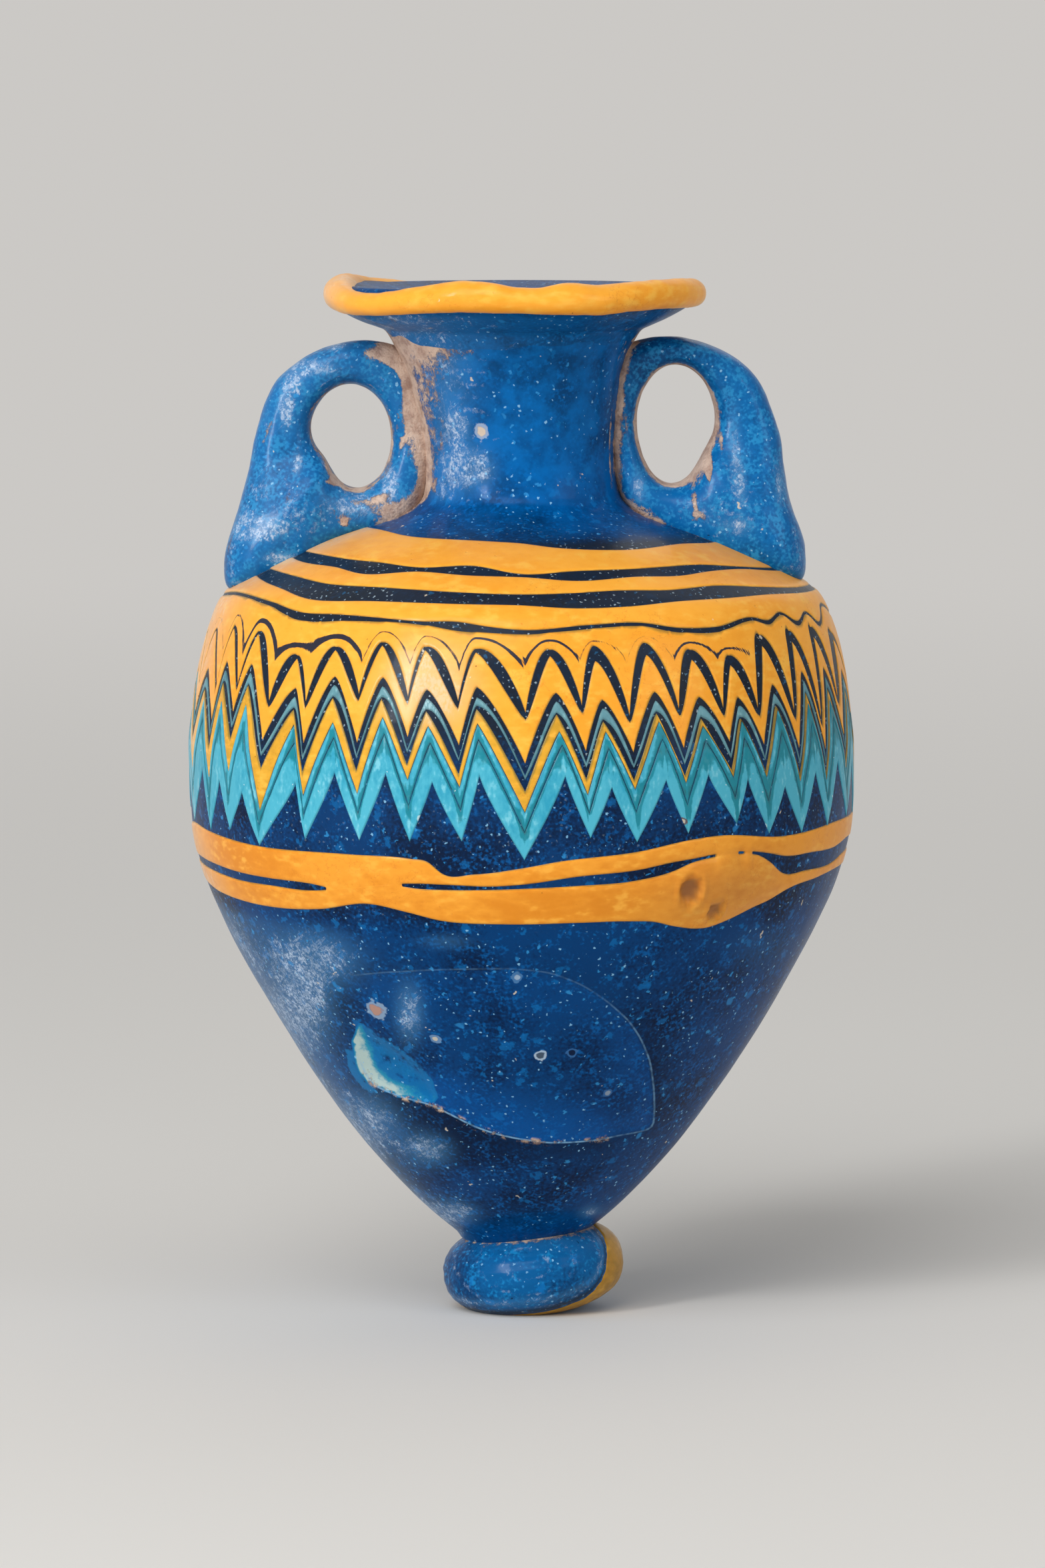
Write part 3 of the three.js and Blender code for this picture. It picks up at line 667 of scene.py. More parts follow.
def face_out(mesh: Mesh) -> None:
    """Turns the faces of a closed mesh outwards.

    Args:
        mesh: the mesh.
    """
    work = bmesh.new()
    work.from_mesh(mesh)
    bmesh.ops.recalc_face_normals(work, faces=work.faces)
    if work.calc_volume(signed=True) < 0:
        bmesh.ops.reverse_faces(work, faces=work.faces)
    work.to_mesh(mesh)
    work.free()


# Finishes


class Effects:
    """Shader node groups that more than one finish uses. Their Place is in millimetres."""

    def __init__(self) -> None:
        """Builds the groups once."""
        self.mottle = self._mottle()
        self.flecks = self._flecks()
        self.film = self._film()
        self.spot = self._spot()
        self.relief = self._relief()

    def _mottle(self) -> NodeTree:
        """Cloudy colour: a ground with deeper clouds and lighter patches in it.

        Returns:
            The group.
        """
        inputs = {
            "Place": "Vector", "Deep": "Color", "Ground": "Color",
            "Light": "Color", "Deep Share": 0.5, "Light Share": 0.4,
            "Cloud Size": 9.0, "Patch Size": 1.6, "Seed": 0.0,
        }
        wire, source, sink = new_tree("glass_mottle", "ShaderNodeTree", inputs, {"Color": "Color"})
        place, seed = source["Place"], source["Seed"]
        cloud = wire.noise(place, wire.ratio(1.0, source["Cloud Size"]), 4.0, seed)
        patch = wire.noise(place, wire.ratio(1.0, source["Patch Size"]), 4.0, seed)
        fine = wire.noise(place, wire.ratio(4.0, source["Patch Size"]), 2.0, seed)
        rough = wire.fit(fine, 0.35, wire.times(cloud, 0.65))
        edge = wire.fit(source["Deep Share"], 0.5, 0.25)
        deep = wire.step(rough, wire.plus(edge, -0.1), wire.plus(edge, 0.1))
        colour = wire.blend(deep, source["Deep"], source["Ground"])
        both = wire.fit(fine, 0.5, wire.times(patch, 0.5))
        start = wire.fit(source["Light Share"], -0.5, 0.75)
        light = wire.step(both, wire.plus(start, -0.06), wire.plus(start, 0.1))
        wire.put(sink["Color"], wire.blend(light, colour, source["Light"]))
        return wire.tree

    def _flecks(self) -> NodeTree:
        """Scattered grains with ragged outlines: a mask that is 1 on them.

        Returns:
            The group.
        """
        inputs = {
            "Place": "Vector", "Spacing": 1.0, "Share": 0.3,
            "Radius": 0.2, "Ragged": 0.3, "Seed": 0.0,
        }
        wire, source, sink = new_tree("glass_flecks", "ShaderNodeTree", inputs, {"Mask": "Float"})
        near = {"Vector": source["Place"], "Scale": wire.ratio(2.5, source["Spacing"])}
        stir = wire.add("ShaderNodeTexNoise", {**near, "Detail": 2.0}).outputs[1]
        offset = wire.scaled(wire.vector("SUBTRACT", stir, (0.5, 0.5, 0.5)), source["Ragged"])
        moved = wire.vector("ADD", source["Place"], wire.scaled(offset, source["Spacing"]))
        moved = wire.vector("ADD", moved, wire.scaled((7.3, 3.1, 5.7), source["Seed"]))
        inverse = wire.ratio(1.0, source["Spacing"])
        cells = wire.add("ShaderNodeTexVoronoi", {"Vector": moved, "Scale": inverse})
        chance, size = wire.add("ShaderNodeSeparateColor", {0: cells.outputs["Color"]}).outputs[:2]
        chosen = wire.math("LESS_THAN", chance, source["Share"])
        distance = wire.times(cells.outputs["Distance"], source["Spacing"])
        reach = wire.times(source["Radius"], wire.fit(size, 0.8, 0.4))
        inside = wire.step(distance, reach, wire.times(reach, 0.55))
        wire.put(sink["Mask"], wire.times(inside, chosen))
        return wire.tree

    def _film(self) -> NodeTree:
        """Milky film and scuffs, drawn out along one axis: a mask that grows with Amount.

        Returns:
            The group.
        """
        inputs = {
            "Place": "Vector", "Amount": 0.3, "Stretch": (1.0, 1.0, 0.35),
            "Size": 1.2, "Seed": 0.0,
        }
        wire, source, sink = new_tree("glass_film", "ShaderNodeTree", inputs, {"Mask": "Float"})
        drawn = wire.vector("MULTIPLY", source["Place"], source["Stretch"])
        inverse = wire.ratio(1.0, source["Size"])
        broad = wire.noise(drawn, wire.times(inverse, 0.3), 3.0, source["Seed"])
        fine = wire.noise(drawn, inverse, 7.0, source["Seed"], 0.72)
        both = wire.fit(broad, 0.45, wire.times(fine, 0.55))
        edge = wire.fit(source["Amount"], -0.32, 0.74)
        marks = wire.step(both, edge, wire.plus(edge, 0.1))
        grain = wire.noise(drawn, wire.times(inverse, 4.0), 2.0, source["Seed"])
        broken = wire.step(grain, 0.34, 0.56)
        wire.put(sink["Mask"], wire.times(marks, broken))
        return wire.tree

    def _spot(self) -> NodeTree:
        """A round mark at a place: masks of the disc and of a ring round it.

        Returns:
            The group.
        """
        inputs = {
            "Place": "Vector", "Centre": "Vector", "Radius": 0.4,
            "Ring": 0.15,
        }
        outputs = {"Disc": "Float", "Ring": "Float"}
        wire, source, sink = new_tree("glass_spot", "ShaderNodeTree", inputs, outputs)
        offset = wire.vector("SUBTRACT", source["Place"], source["Centre"])
        length = wire.add("ShaderNodeVectorMath", {0: offset}, operation="LENGTH").outputs[1]
        stir = wire.fit(wire.noise(source["Place"], 1.5, 4.0), 1.6, 0.2)
        away = wire.times(length, stir)
        radius = source["Radius"]
        disc = wire.step(away, radius, wire.times(radius, 0.7))
        outer = wire.plus(radius, source["Ring"])
        whole = wire.step(away, wire.times(outer, 1.1), wire.times(outer, 0.9))
        wire.put(sink["Disc"], disc)
        wire.put(sink["Ring"], wire.minus(whole, disc))
        return wire.tree

    def _relief(self) -> NodeTree:
        """Fine unevenness of old glass, with small pits: a height in millimetres.

        Returns:
            The group.
        """
        inputs = {
            "Place": "Vector", "Wave": 0.05, "Grain": 0.01,
            "Pits": 0.05, "Seed": 0.0,
        }
        wire, source, sink = new_tree("glass_relief", "ShaderNodeTree", inputs, {"Height": "Float"})
        wave = wire.noise(source["Place"], 0.55, 2.0, source["Seed"])
        grain = wire.noise(source["Place"], 5.0, 4.0, source["Seed"])
        pits = wire.group(
            self.flecks,
            {"Place": source["Place"], "Spacing": 1.3, "Share": 0.25, "Radius": 0.16, "Seed": 5.0},
        )
        height = wire.times(wave, source["Wave"])
        height = wire.fit(grain, source["Grain"], height)
        sunk = wire.times(pits, source["Pits"])
        wire.put(sink["Height"], wire.minus(height, sunk))
        return wire.tree


class Finish:
    """What every finish here shares: its material, its places and its surface."""

    def __init__(self, name: str, effects: Effects) -> None:
        """Starts an empty material that reads object coordinates in millimetres.

        Args:
            name: the material's name.
            effects: the shared node groups.
        """
        self.effects = effects
        self.material = bpy.data.materials.new(name)
        self.material.use_nodes = True
        self.material.node_tree.nodes.clear()
        self.wire = Wiring(self.material.node_tree)
        object_place = self.wire.add("ShaderNodeTexCoord").outputs["Object"]
        self.place = self.wire.scaled(object_place, 1 / MM)

    def flecks(
        self, spacing: float, share: Any, radius: float, seed: float, ragged: float = 0.3
    ) -> Any:
        """The mask of one size of grain.

        Args:
            spacing: how far apart the grains are, in millimetres.
            share: how many of the places hold one.
            radius: how big they are, in millimetres.
            seed: which pattern of many.
            ragged: how uneven their outlines are.

        Returns:
            The mask.
        """
        inputs = {
            "Place": self.place, "Spacing": spacing, "Share": share, "Radius": radius,
            "Seed": seed, "Ragged": ragged,
        }
        return self.wire.group(self.effects.flecks, inputs)

    def film(self, amount: Any, stretch: tuple, size: float, seed: float) -> Any:
        """The mask of a film or of scuffs.

        Args:
            amount: how much of the surface it covers.
            stretch: a factor for each axis of the pattern.
            size: how big its patches are, in millimetres.
            seed: which pattern of many.

        Returns:
            The mask.
        """
        inputs = {
            "Place": self.place, "Amount": amount, "Stretch": stretch, "Size": size, "Seed": seed
        }
        return self.wire.group(self.effects.film, inputs)

    def relief(self, pits: float, seed: float = 0.0) -> Feed:
        """The height of fine unevenness with pits of a depth in millimetres."""
        inputs = {"Place": self.place, "Wave": 0.05, "Grain": 0.006, "Pits": pits, "Seed": seed}
        return self.wire.group(self.effects.relief, inputs)

    def tint(self, colour: Any, mask: Any, share: float, over: str) -> Feed:
        """A colour with a share of another one where a mask says."""
        return self.wire.blend(self.wire.times(mask, share), colour, linear(over))

    def spots(self, colour: Any, marks: Sequence["Spot"]) -> Feed:
        """A colour with round marks on it.

        Args:
            colour: the colour so far.
            marks: the marks.

        Returns:
            The colour with the marks.
        """
        for mark in marks:
            inputs = {
                "Place": self.place, "Centre": mark.centre, "Radius": mark.radius, "Ring": mark.ring
            }
            masks = self.wire.group(self.effects.spot, inputs).outputs
            colour = self.tint(colour, masks["Ring"], 0.8, mark.around)
            colour = self.tint(colour, masks["Disc"], 0.9, mark.inside)
        return colour

    def end(
        self, colour: Any, roughness: Any, height: Any, coat: float, coat_roughness: float,
        specular: float = 0.1,
    ) -> Material:
        """Joins colour, roughness and relief in the surface.

        Args:
            colour: the base colour.
            roughness: the roughness under the gloss.
            height: the relief in millimetres.
            coat: how much clear gloss lies on top.
            coat_roughness: how soft that gloss is.
            specular: how much the glass itself mirrors.

        Returns:
            The material.
        """
        wire = self.wire
        bump = wire.add("ShaderNodeBump", {"Height": height, "Distance": MM, "Strength": 1.0})
        surface = wire.add(
            "ShaderNodeBsdfPrincipled",
            {
                "Base Color": colour, "Roughness": roughness, "Normal": bump,
                "Coat Weight": coat, "Coat Roughness": coat_roughness, "IOR": 1.5,
                "Specular IOR Level": specular,
            },
        )
        wire.add("ShaderNodeOutputMaterial", {0: surface})
        return self.material


@dataclass(frozen=True)
class Spot:
    """A round mark: a burst bubble, a grain or a pit."""

    centre: tuple[float, float, float]
    radius: float
    ring: float
    inside: str
    around: str


@dataclass(frozen=True)
class BlueGlass:
    """Weathered cobalt glass, full of grains, with milky film, scuffs and burial crust, highlights
    painted as film, and a painted shadow below the scar's lower edge.
    """

    name: str
    deep: str = "001a3c"
    ground: str = "003b72"
    light: str = "03589c"
    lit: str = "0270c0"
    shade: str = "1e242b"
    # film: colour of the milky film, and also of the highlights painted as film.
    film: str = "b3c6de"
    crust: str = "dcc0a8"
    seed: float = 3.0
    deep_share: float = 0.42
    light_share: float = 0.35
    azure: float = 0.5
    pale: float = 0.5
    gloss: float = 0.06
    spots: tuple[Spot, ...] = ()

    def material(self, effects: Effects) -> Material:
        """The finish as a material.

        Args:
            effects: the shared node groups.

        Returns:
            The material.
        """
        it = Finish(self.name, effects)
        wire = it.wire
        shade, milk, near, scar, chip, brink, streak, lit = (
            wire.attribute(n)
            for n in ("shade", "milk", "near", "scar", "chip", "brink", "streak", "lit")
        )
        mottle = wire.group(
            effects.mottle,
            {
                "Place": it.place, "Deep": linear(self.deep), "Ground": linear(self.ground),
                "Light": linear(self.light), "Deep Share": self.deep_share,
                "Light Share": self.light_share, "Seed": self.seed, "Patch Size": 1.3,
            },
        )
        clouds = wire.step(wire.noise(it.place, 0.35, 4.0, 14.0, 0.6), 0.36, 0.62)
        bluer = wire.times(lit, wire.fit(clouds, 0.6, 0.4))
        colour = it.tint(mottle, bluer, 0.9, self.lit)
        colour = it.tint(colour, it.flecks(1.7, 0.5, 0.62, 1.0, 1.2), self.azure, "0a74bd")
        glow = wire.times(wire.step(scar, 0.0, 0.3), wire.step(scar, 7.0, 0.4))
        colour = it.tint(colour, wire.times(glow, brink), 0.5, "0362b8")
        # Painted shadow: a darker navy band just outside the scar's lower edge.
        under = wire.times(wire.step(scar, -3.5, -0.1), wire.step(scar, 0.05, -0.1))
        colour = it.tint(colour, wire.times(under, brink), 0.7, "021a38")
        colour = it.tint(colour, shade, 0.9, self.shade)
        colour = self._chipped(it, colour, chip)
        # Film and scratches, with the highlights painted as film on the neck, the handles and the
        # knob.
        colour, worn_and_highlight = self._worn_and_highlit(it, colour, milk, streak)
        colour = self._grained(it, colour, shade)
        line = wire.step(wire.math("ABSOLUTE", scar), 0.13, 0.02)
        broken = wire.step(wire.noise(it.place, 1.4, 3.0, 15.0), 0.35, 0.6)
        share = wire.times(brink, wire.fit(broken, 0.6, 0.35))
        colour = wire.blend(wire.times(line, share), colour, linear("7fb0d6"))
        wide = wire.step(wire.math("ABSOLUTE", scar), 0.45, 0.1)
        grit = wire.times(wide, wire.step(wire.noise(it.place, 0.9, 5.0, 6.0, 0.7), 0.5, 0.6))
        grit = wire.times(grit, wire.step(brink, 0.6, 0.8))
        crust = wire.larger(it.film(near, (1.0, 1.0, 0.7), 0.8, 11.0), grit)
        ragged = wire.noise(it.place, 0.8, 6.0, 5.0, 0.75)
        solid = wire.step(wire.fit(ragged, 1.1, near), 1.28, 1.42)
        crust = wire.larger(crust, solid)
        stain = wire.step(wire.noise(it.place, 0.7, 6.0, 8.0, 0.7), 0.32, 0.62)
        tan = wire.blend(stain, linear("a9866e"), linear(self.crust))
        tan = it.tint(tan, it.flecks(0.6, 0.3, 0.14, 9.0, 0.8), 0.6, "d9c3ab")
        colour = wire.blend(wire.times(crust, 0.9), colour, tan)
        colour = it.spots(colour, self.spots)
        dull = wire.larger(crust, wire.times(worn_and_highlight, 0.5))
        roughness = wire.fit(dull, 0.35, 0.3)
        relief = it.relief(0.05)
        rough = wire.noise(it.place, 4.0, 3.0, 9.0)
        lumps = wire.times(crust, wire.fit(rough, 0.14, 0.02))
        return it.end(colour, roughness, wire.plus(relief, lumps), self.gloss, 0.08, self.gloss)

    def _worn_and_highlit(self, it: Finish, colour: Any, milk: Any, streak: Any) -> tuple[Any, Any]:
        """The colour under its ragged milky film, with scratches and the highlights painted as
        film, and the mask of both.

        Args:
            it: the finish under way.
            colour: the colour so far.
            milk: strength of the milky film, and of the highlights painted as film.
            streak: strength of streaks along the piece, partly sheen painted along the handles'
                ridges.

        Returns:
            The colour, and the mask of the film with its painted highlights.
        """
        wire = it.wire
        patches = it.film(milk, (1.2, 1.2, 0.75), 0.9, 2.0)
        scuffs = it.film(wire.times(milk, 0.85), (3.0, 3.0, 0.4), 0.5, 7.0)
        leaning = wire.add(
            "ShaderNodeVectorRotate", {"Vector": it.place, "Axis": (0, 1, 0), "Angle": 0.8}
        )
        scratch_inputs = {
            "Place": leaning, "Amount": milk, "Stretch": (0.16, 1.0, 4.0), "Size": 0.7,
            "Seed": 21.0,
        }
        scratches = wire.group(it.effects.film, scratch_inputs)
        along = wire.noise(it.place, 1.6, 5.0, 12.0, 0.7)
        # Smears along the streaks: film, and on the handles' arches a painted sheen along the
        # ridges.
        smear_and_sheen = wire.step(wire.fit(streak, 0.5, along), 0.7, 0.94)
        worn_and_highlight = wire.larger(patches, wire.times(scuffs, 0.6))
        worn_and_highlight = wire.larger(worn_and_highlight, wire.times(scratches, 0.5))
        worn_and_highlight = wire.larger(worn_and_highlight, wire.times(smear_and_sheen, 0.7))
        broken = wire.step(wire.noise(it.place, 2.2, 5.0, 18.0, 0.78), 0.45, 0.56)
        worn_and_highlight = wire.times(worn_and_highlight, wire.fit(broken, 0.85, 0.1))
        cloud = wire.times(wire.step(milk, 0.15, 1.0), 0.42)
        colour = it.tint(colour, cloud, 1.0, "4f8cbc")
        return wire.blend(worn_and_highlight, colour, linear(self.film)), worn_and_highlight

    def _grained(self, it: Finish, colour: Any, shade: Any) -> Feed:
        """The colour with its grains: pale blue of three sizes, cream, and a few dark ones.

        Args:
            it: the finish under way.
            colour: the colour so far.
            shade: how dark the glass is there.

        Returns:
            The colour with the grains.
        """
        wire = it.wire
        bright = wire.fit(shade, -0.7, 1.0)
        small = wire.times(it.flecks(0.62, self.pale, 0.13, 2.0, 0.6), bright)
        middle = wire.times(it.flecks(1.3, 0.6, 0.25, 13.0, 0.7), bright)
        large = wire.times(it.flecks(4.2, 0.5, 0.5, 17.0, 0.5), bright)
        colour = it.tint(colour, large, 0.7, "2a86c8")
        colour = it.tint(colour, middle, 0.75, "3393d4")
        colour = it.tint(colour, small, 0.9, "86bfe4")
        dust = wire.times(it.flecks(0.45, 0.6, 0.12, 23.0, 0.8), shade)
        colour = it.tint(colour, dust, 0.8, "a3b6c2")
        colour = it.tint(colour, it.flecks(2.1, 0.32, 0.23, 3.0, 0.8), 0.9, "cfc4b2")
        return it.tint(colour, it.flecks(3.1, 0.2, 0.22, 4.0, 0.4), 0.75, "020a18")

    def _chipped(self, it: Finish, colour: Any, chip: Any) -> Feed:
        """The colour with the shallow chip: azure, turquoise, and whitish towards its start.

        Args:
            it: the finish under way.
            colour: the colour so far.
            chip: depth into the chip, from 0 to 1.

        Returns:
            The colour with the chip.
        """
        wire = it.wire
        uneven = wire.fit(wire.noise(it.place, 0.9, 5.0, 3.0, 0.65), 1.3, -0.65)
        place = wire.plus(chip, wire.times(uneven, wire.step(chip, 0.0, 0.2)))
        colour = it.tint(colour, wire.step(place, 0.05, 0.3), 0.7, "0878b8")
        colour = it.tint(colour, wire.step(place, 0.4, 0.8), 0.7, "2f9ab0")
        return it.tint(colour, wire.step(place, 0.75, 1.15), 0.8, "c3d3c8")


@dataclass(frozen=True)
class YellowGlass:
    """Opaque yellow glass, streaked along its winding and dotted with burst bubbles."""

    name: str
    ground: str = "ffb03a"
    deep: str = "f9a42d"
    light: str = "ffbb47"
    haze: str = "f6cfa8"
    fringe: str = "6f6430"
    fringe_width: float = 0.2
    line: str = "2b2b38"
    spots: tuple[Spot, ...] = ()

    def material(self, effects: Effects) -> Material:
        """The finish as a material.

        Args:
            effects: the shared node groups.

        Returns:
            The material.
        """
        it = Finish(self.name, effects)
        wire = it.wire
        mottle = wire.group(
            effects.mottle,
            {
                "Place": wire.vector("MULTIPLY", it.place, (0.5, 0.5, 1.0)),
                "Deep": linear(self.deep), "Ground": linear(self.ground),
                "Light": linear(self.light), "Deep Share": 0.42, "Light Share": 0.35,
                "Cloud Size": 8.0, "Patch Size": 2.6, "Seed": 5.0,
            },
        )
        vein = wire.noise(it.place, 0.9, 5.0, 4.0)
        thin = wire.step(wire.math("ABSOLUTE", wire.minus(vein, 0.5)), 0.012, 0.0)
        where = wire.step(wire.noise(it.place, 0.12, 2.0, 8.0), 0.5, 0.62)
        colour = it.tint(mottle, wire.times(thin, where), 0.3, "c8561c")
        milk = wire.attribute("milk")
        # Pale haze from the stored film strength: milky film, and at the zigzag's front left a
        # painted highlight.
        colour = it.tint(colour, wire.step(milk, 0.2, 1.0), 0.45, self.haze)
        colour = it.tint(colour, it.film(milk, (1.0, 1.0, 0.6), 0.9, 3.0), 0.6, self.haze)
        colour = it.tint(colour, it.flecks(1.5, 0.3, 0.1, 1.0, 0.3), 0.85, "6e3413")
        colour = it.tint(colour, it.flecks(0.8, 0.2, 0.1, 6.0, 0.6), 0.35, "d97a1c")
        colour = it.tint(colour, it.flecks(3.2, 0.2, 0.15, 2.0, 0.5), 0.7, "fbe6c4")
        uneven = wire.fit(wire.noise(it.place, 1.1, 3.0, 6.0), 1.6, 0.2)
        width = wire.times(uneven, self.fringe_width)
        fringe = wire.step(wire.attribute("rim"), width, wire.times(width, 0.1))
        colour = it.tint(colour, fringe, 0.75, self.fringe)
        stir = wire.fit(wire.noise(it.place, 1.4, 3.0, 9.0), 0.6, -0.3)
        line = wire.step(wire.plus(wire.attribute("line"), stir), 0.3, 0.62)
        colour = wire.blend(line, colour, linear(self.line))
        # Darker brown where the lower band is pitted, and more faintly over its swell.
        colour = it.tint(colour, wire.attribute("socket"), 0.8, "8d6344")
        colour = it.spots(colour, self.spots)
        relief = it.relief(0.04, 2.0)
        relief = wire.minus(relief, wire.times(line, 0.03))
        roughness = wire.fit(wire.noise(it.place, 0.8, 3.0, 1.0), 0.25, 0.24)
        return it.end(colour, roughness, relief, 0.18, 0.12)


@dataclass(frozen=True)
class TurquoiseGlass:
    """Opaque turquoise glass with milky streaks and a dark teal line between its turns."""

    name: str
    ground: str = "4db2ca"
    deep: str = "2f9cba"
    light: str = "79c8da"
    teal: str = "0a7c8c"
    fringe: str = "2c6a80"
    haze: str = "b4dbe4"
    deep_share: float = 0.34
    spots: tuple[Spot, ...] = ()

    def material(self, effects: Effects) -> Material:
        """The finish as a material.

        Args:
            effects: the shared node groups.

        Returns:
            The material.
        """
        it = Finish(self.name, effects)
        wire = it.wire
        mottle = wire.group(
            effects.mottle,
            {
                "Place": wire.vector("MULTIPLY", it.place, (1.0, 1.0, 0.5)),
                "Deep": linear(self.deep), "Ground": linear(self.ground),
                "Light": linear(self.light), "Deep Share": self.deep_share, "Light Share": 0.32,
                "Cloud Size": 5.0, "Patch Size": 1.4, "Seed": 9.0,
            },
        )
        wander = wire.fit(wire.noise(it.place, 1.3, 4.0, 2.0), 1.0, -0.5)
        strength = wire.plus(wire.attribute("line"), wander)
        colour = it.tint(mottle, wire.step(strength, 0.3, 0.6), 0.85, self.teal)
        colour = it.tint(colour, wire.step(strength, 0.82, 1.05), 0.45, "2b4f48")
        # Milky haze, with the painted highlight of the zigzag's front left where it reaches the
        # turquoise.
        haze = it.film(wire.attribute("milk"), (1.8, 1.8, 0.5), 0.7, 3.0)
        colour = it.tint(colour, haze, 0.6, self.haze)
        colour = it.tint(colour, it.flecks(0.9, 0.35, 0.11, 1.0, 0.6), 0.75, "cfe4e4")
        colour = it.tint(colour, it.flecks(2.6, 0.2, 0.1, 4.0, 0.3), 0.8, "0c3f4c")
        fringe = wire.step(wire.attribute("rim"), 0.22, 0.02)
        colour = it.tint(colour, fringe, 0.55, self.fringe)
        colour = it.spots(colour, self.spots)
        relief = it.relief(0.05, 3.0)
        roughness = wire.fit(wire.noise(it.place, 0.8, 3.0, 1.0), 0.25, 0.26)
        return it.end(colour, roughness, relief, 0.18, 0.12)


# The vessel's own shape, as its solids have it


@dataclass
class Outline:
    """The outside of the body and neck, as radius and height."""

    belly_radius: float = 32.0
    foot_radius: float = 6.3
    seat: float = 7.6
    belly_rise: float = 46.1
    shoulder_rise: float = 24.5
    neck_radius: float = 9.3
    neck_rise: float = 16.4
    neck_flare: float = 2.7
    neck_lean: float = -0.8
    wall: float = 3.0
    floor: float = 5.0
    bore: float = 5.2
    belly_shares: tuple = (
        (0, 0), (0.078, 0.16), (0.217, 0.382), (0.412, 0.622), (0.636, 0.85), (0.82, 0.976), (1, 1),
    )
    shoulder_shares: tuple = (
        (0.2, 0.985), (0.367, 0.958), (0.522, 0.914), (0.645, 0.85), (0.722, 0.73),
        (0.788, 0.595), (0.849, 0.445), (0.9, 0.29), (0.945, 0.145), (1, 0.04),
    )
    neck_shares: tuple = ((0.1, 0.06), (0.35, 0.05), (0.63, 0.3), (0.83, 0.54), (1, 1))
    fineness: int = 90

    def __post_init__(self) -> None:
        """Runs a smooth line through the shares and measures it."""
        self.belly = self.seat + self.belly_rise
        self.neck_root = self.belly + self.shoulder_rise
        self.neck_top = self.neck_root + self.neck_rise
        spread = self.belly_radius - self.foot_radius
        points = [
            (self.foot_radius + out * spread, self.seat + up * self.belly_rise)
            for up, out in self.belly_shares
        ]
        spread = self.belly_radius - self.neck_radius
        points += [
            (self.neck_radius + out * spread, self.belly + up * self.shoulder_rise)
            for up, out in self.shoulder_shares
        ]
        points += [
            (self.neck_radius + out * self.neck_flare, self.neck_root + up * self.neck_rise)
            for up, out in self.neck_shares
        ]
        knots = np.array([points[0], *points, points[-1]])
        t = np.linspace(0, 1, self.fineness, endpoint=False)[:, None]
        rows = []
        for i in range(len(points) - 1):
            before, here, there, after = knots[i : i + 4]
            rise, fall = (there - before) / 2, (after - here) / 2
            rows.append(
                (2 * here - 2 * there + rise + fall) * t**3
                + (3 * there - 3 * here - 2 * rise - fall) * t**2
                + rise * t
                + here
            )
        self.points = np.vstack([*rows, knots[-1:]])
        lengths = np.hypot(*np.diff(self.points, axis=0).T)
        self.reach = np.concatenate([[0], np.cumsum(lengths)])
        self.length = self.reach[-1]

    def along(self, height: Array) -> Array:
        """The share of the outline's length at heights."""
        return np.interp(height, self.points[:, 1], self.reach) / self.length

    def at(self, along: Array, depth: float = 0.0) -> Array:
        """Radius and height at shares of the length, a depth under the surface.

        Args:
            along: shares along the outline.
            depth: how far under the surface.

        Returns:
            Radius and height for each share.
        """
        s = np.asarray(along) * self.length
        place = [np.interp(s, self.reach, self.points[:, k]) for k in (0, 1)]
        step = 0.2
        ahead = [np.interp(s + step, self.reach, self.points[:, k]) for k in (0, 1)]
        back = [np.interp(s - step, self.reach, self.points[:, k]) for k in (0, 1)]
        dr, dz = ahead[0] - back[0], ahead[1] - back[1]
        size = np.maximum(np.hypot(dr, dz), 1e-9)
        return np.stack([place[0] - depth * dz / size, place[1] + depth * dr / size], axis=-1)

    def radius(self, height: Array) -> Array:
        """The outside radius at heights."""
        return np.interp(height, self.points[:, 1], self.points[:, 0])

    def lean(self, points: Array) -> Array:
        """Points with the neck's lean to the left.

        Args:
            points: points in millimetres, one row each.

        Returns:
            The moved points.
        """
        moved = points.copy()
        moved[:, 0] += self.neck_lean * eased(points[:, 2], self.neck_root, self.neck_top)
        return moved


# The combed trails


@dataclass(frozen=True)
class Stroke:
    """One stroke of the comb and the crest to its right, as the lines c, d, e and g cross it."""

    tip_angles: tuple[float, float]
    tips: tuple[float, float, float, float]
    crest_angles: tuple[float, float]
    crests: tuple[float, float, float, float]


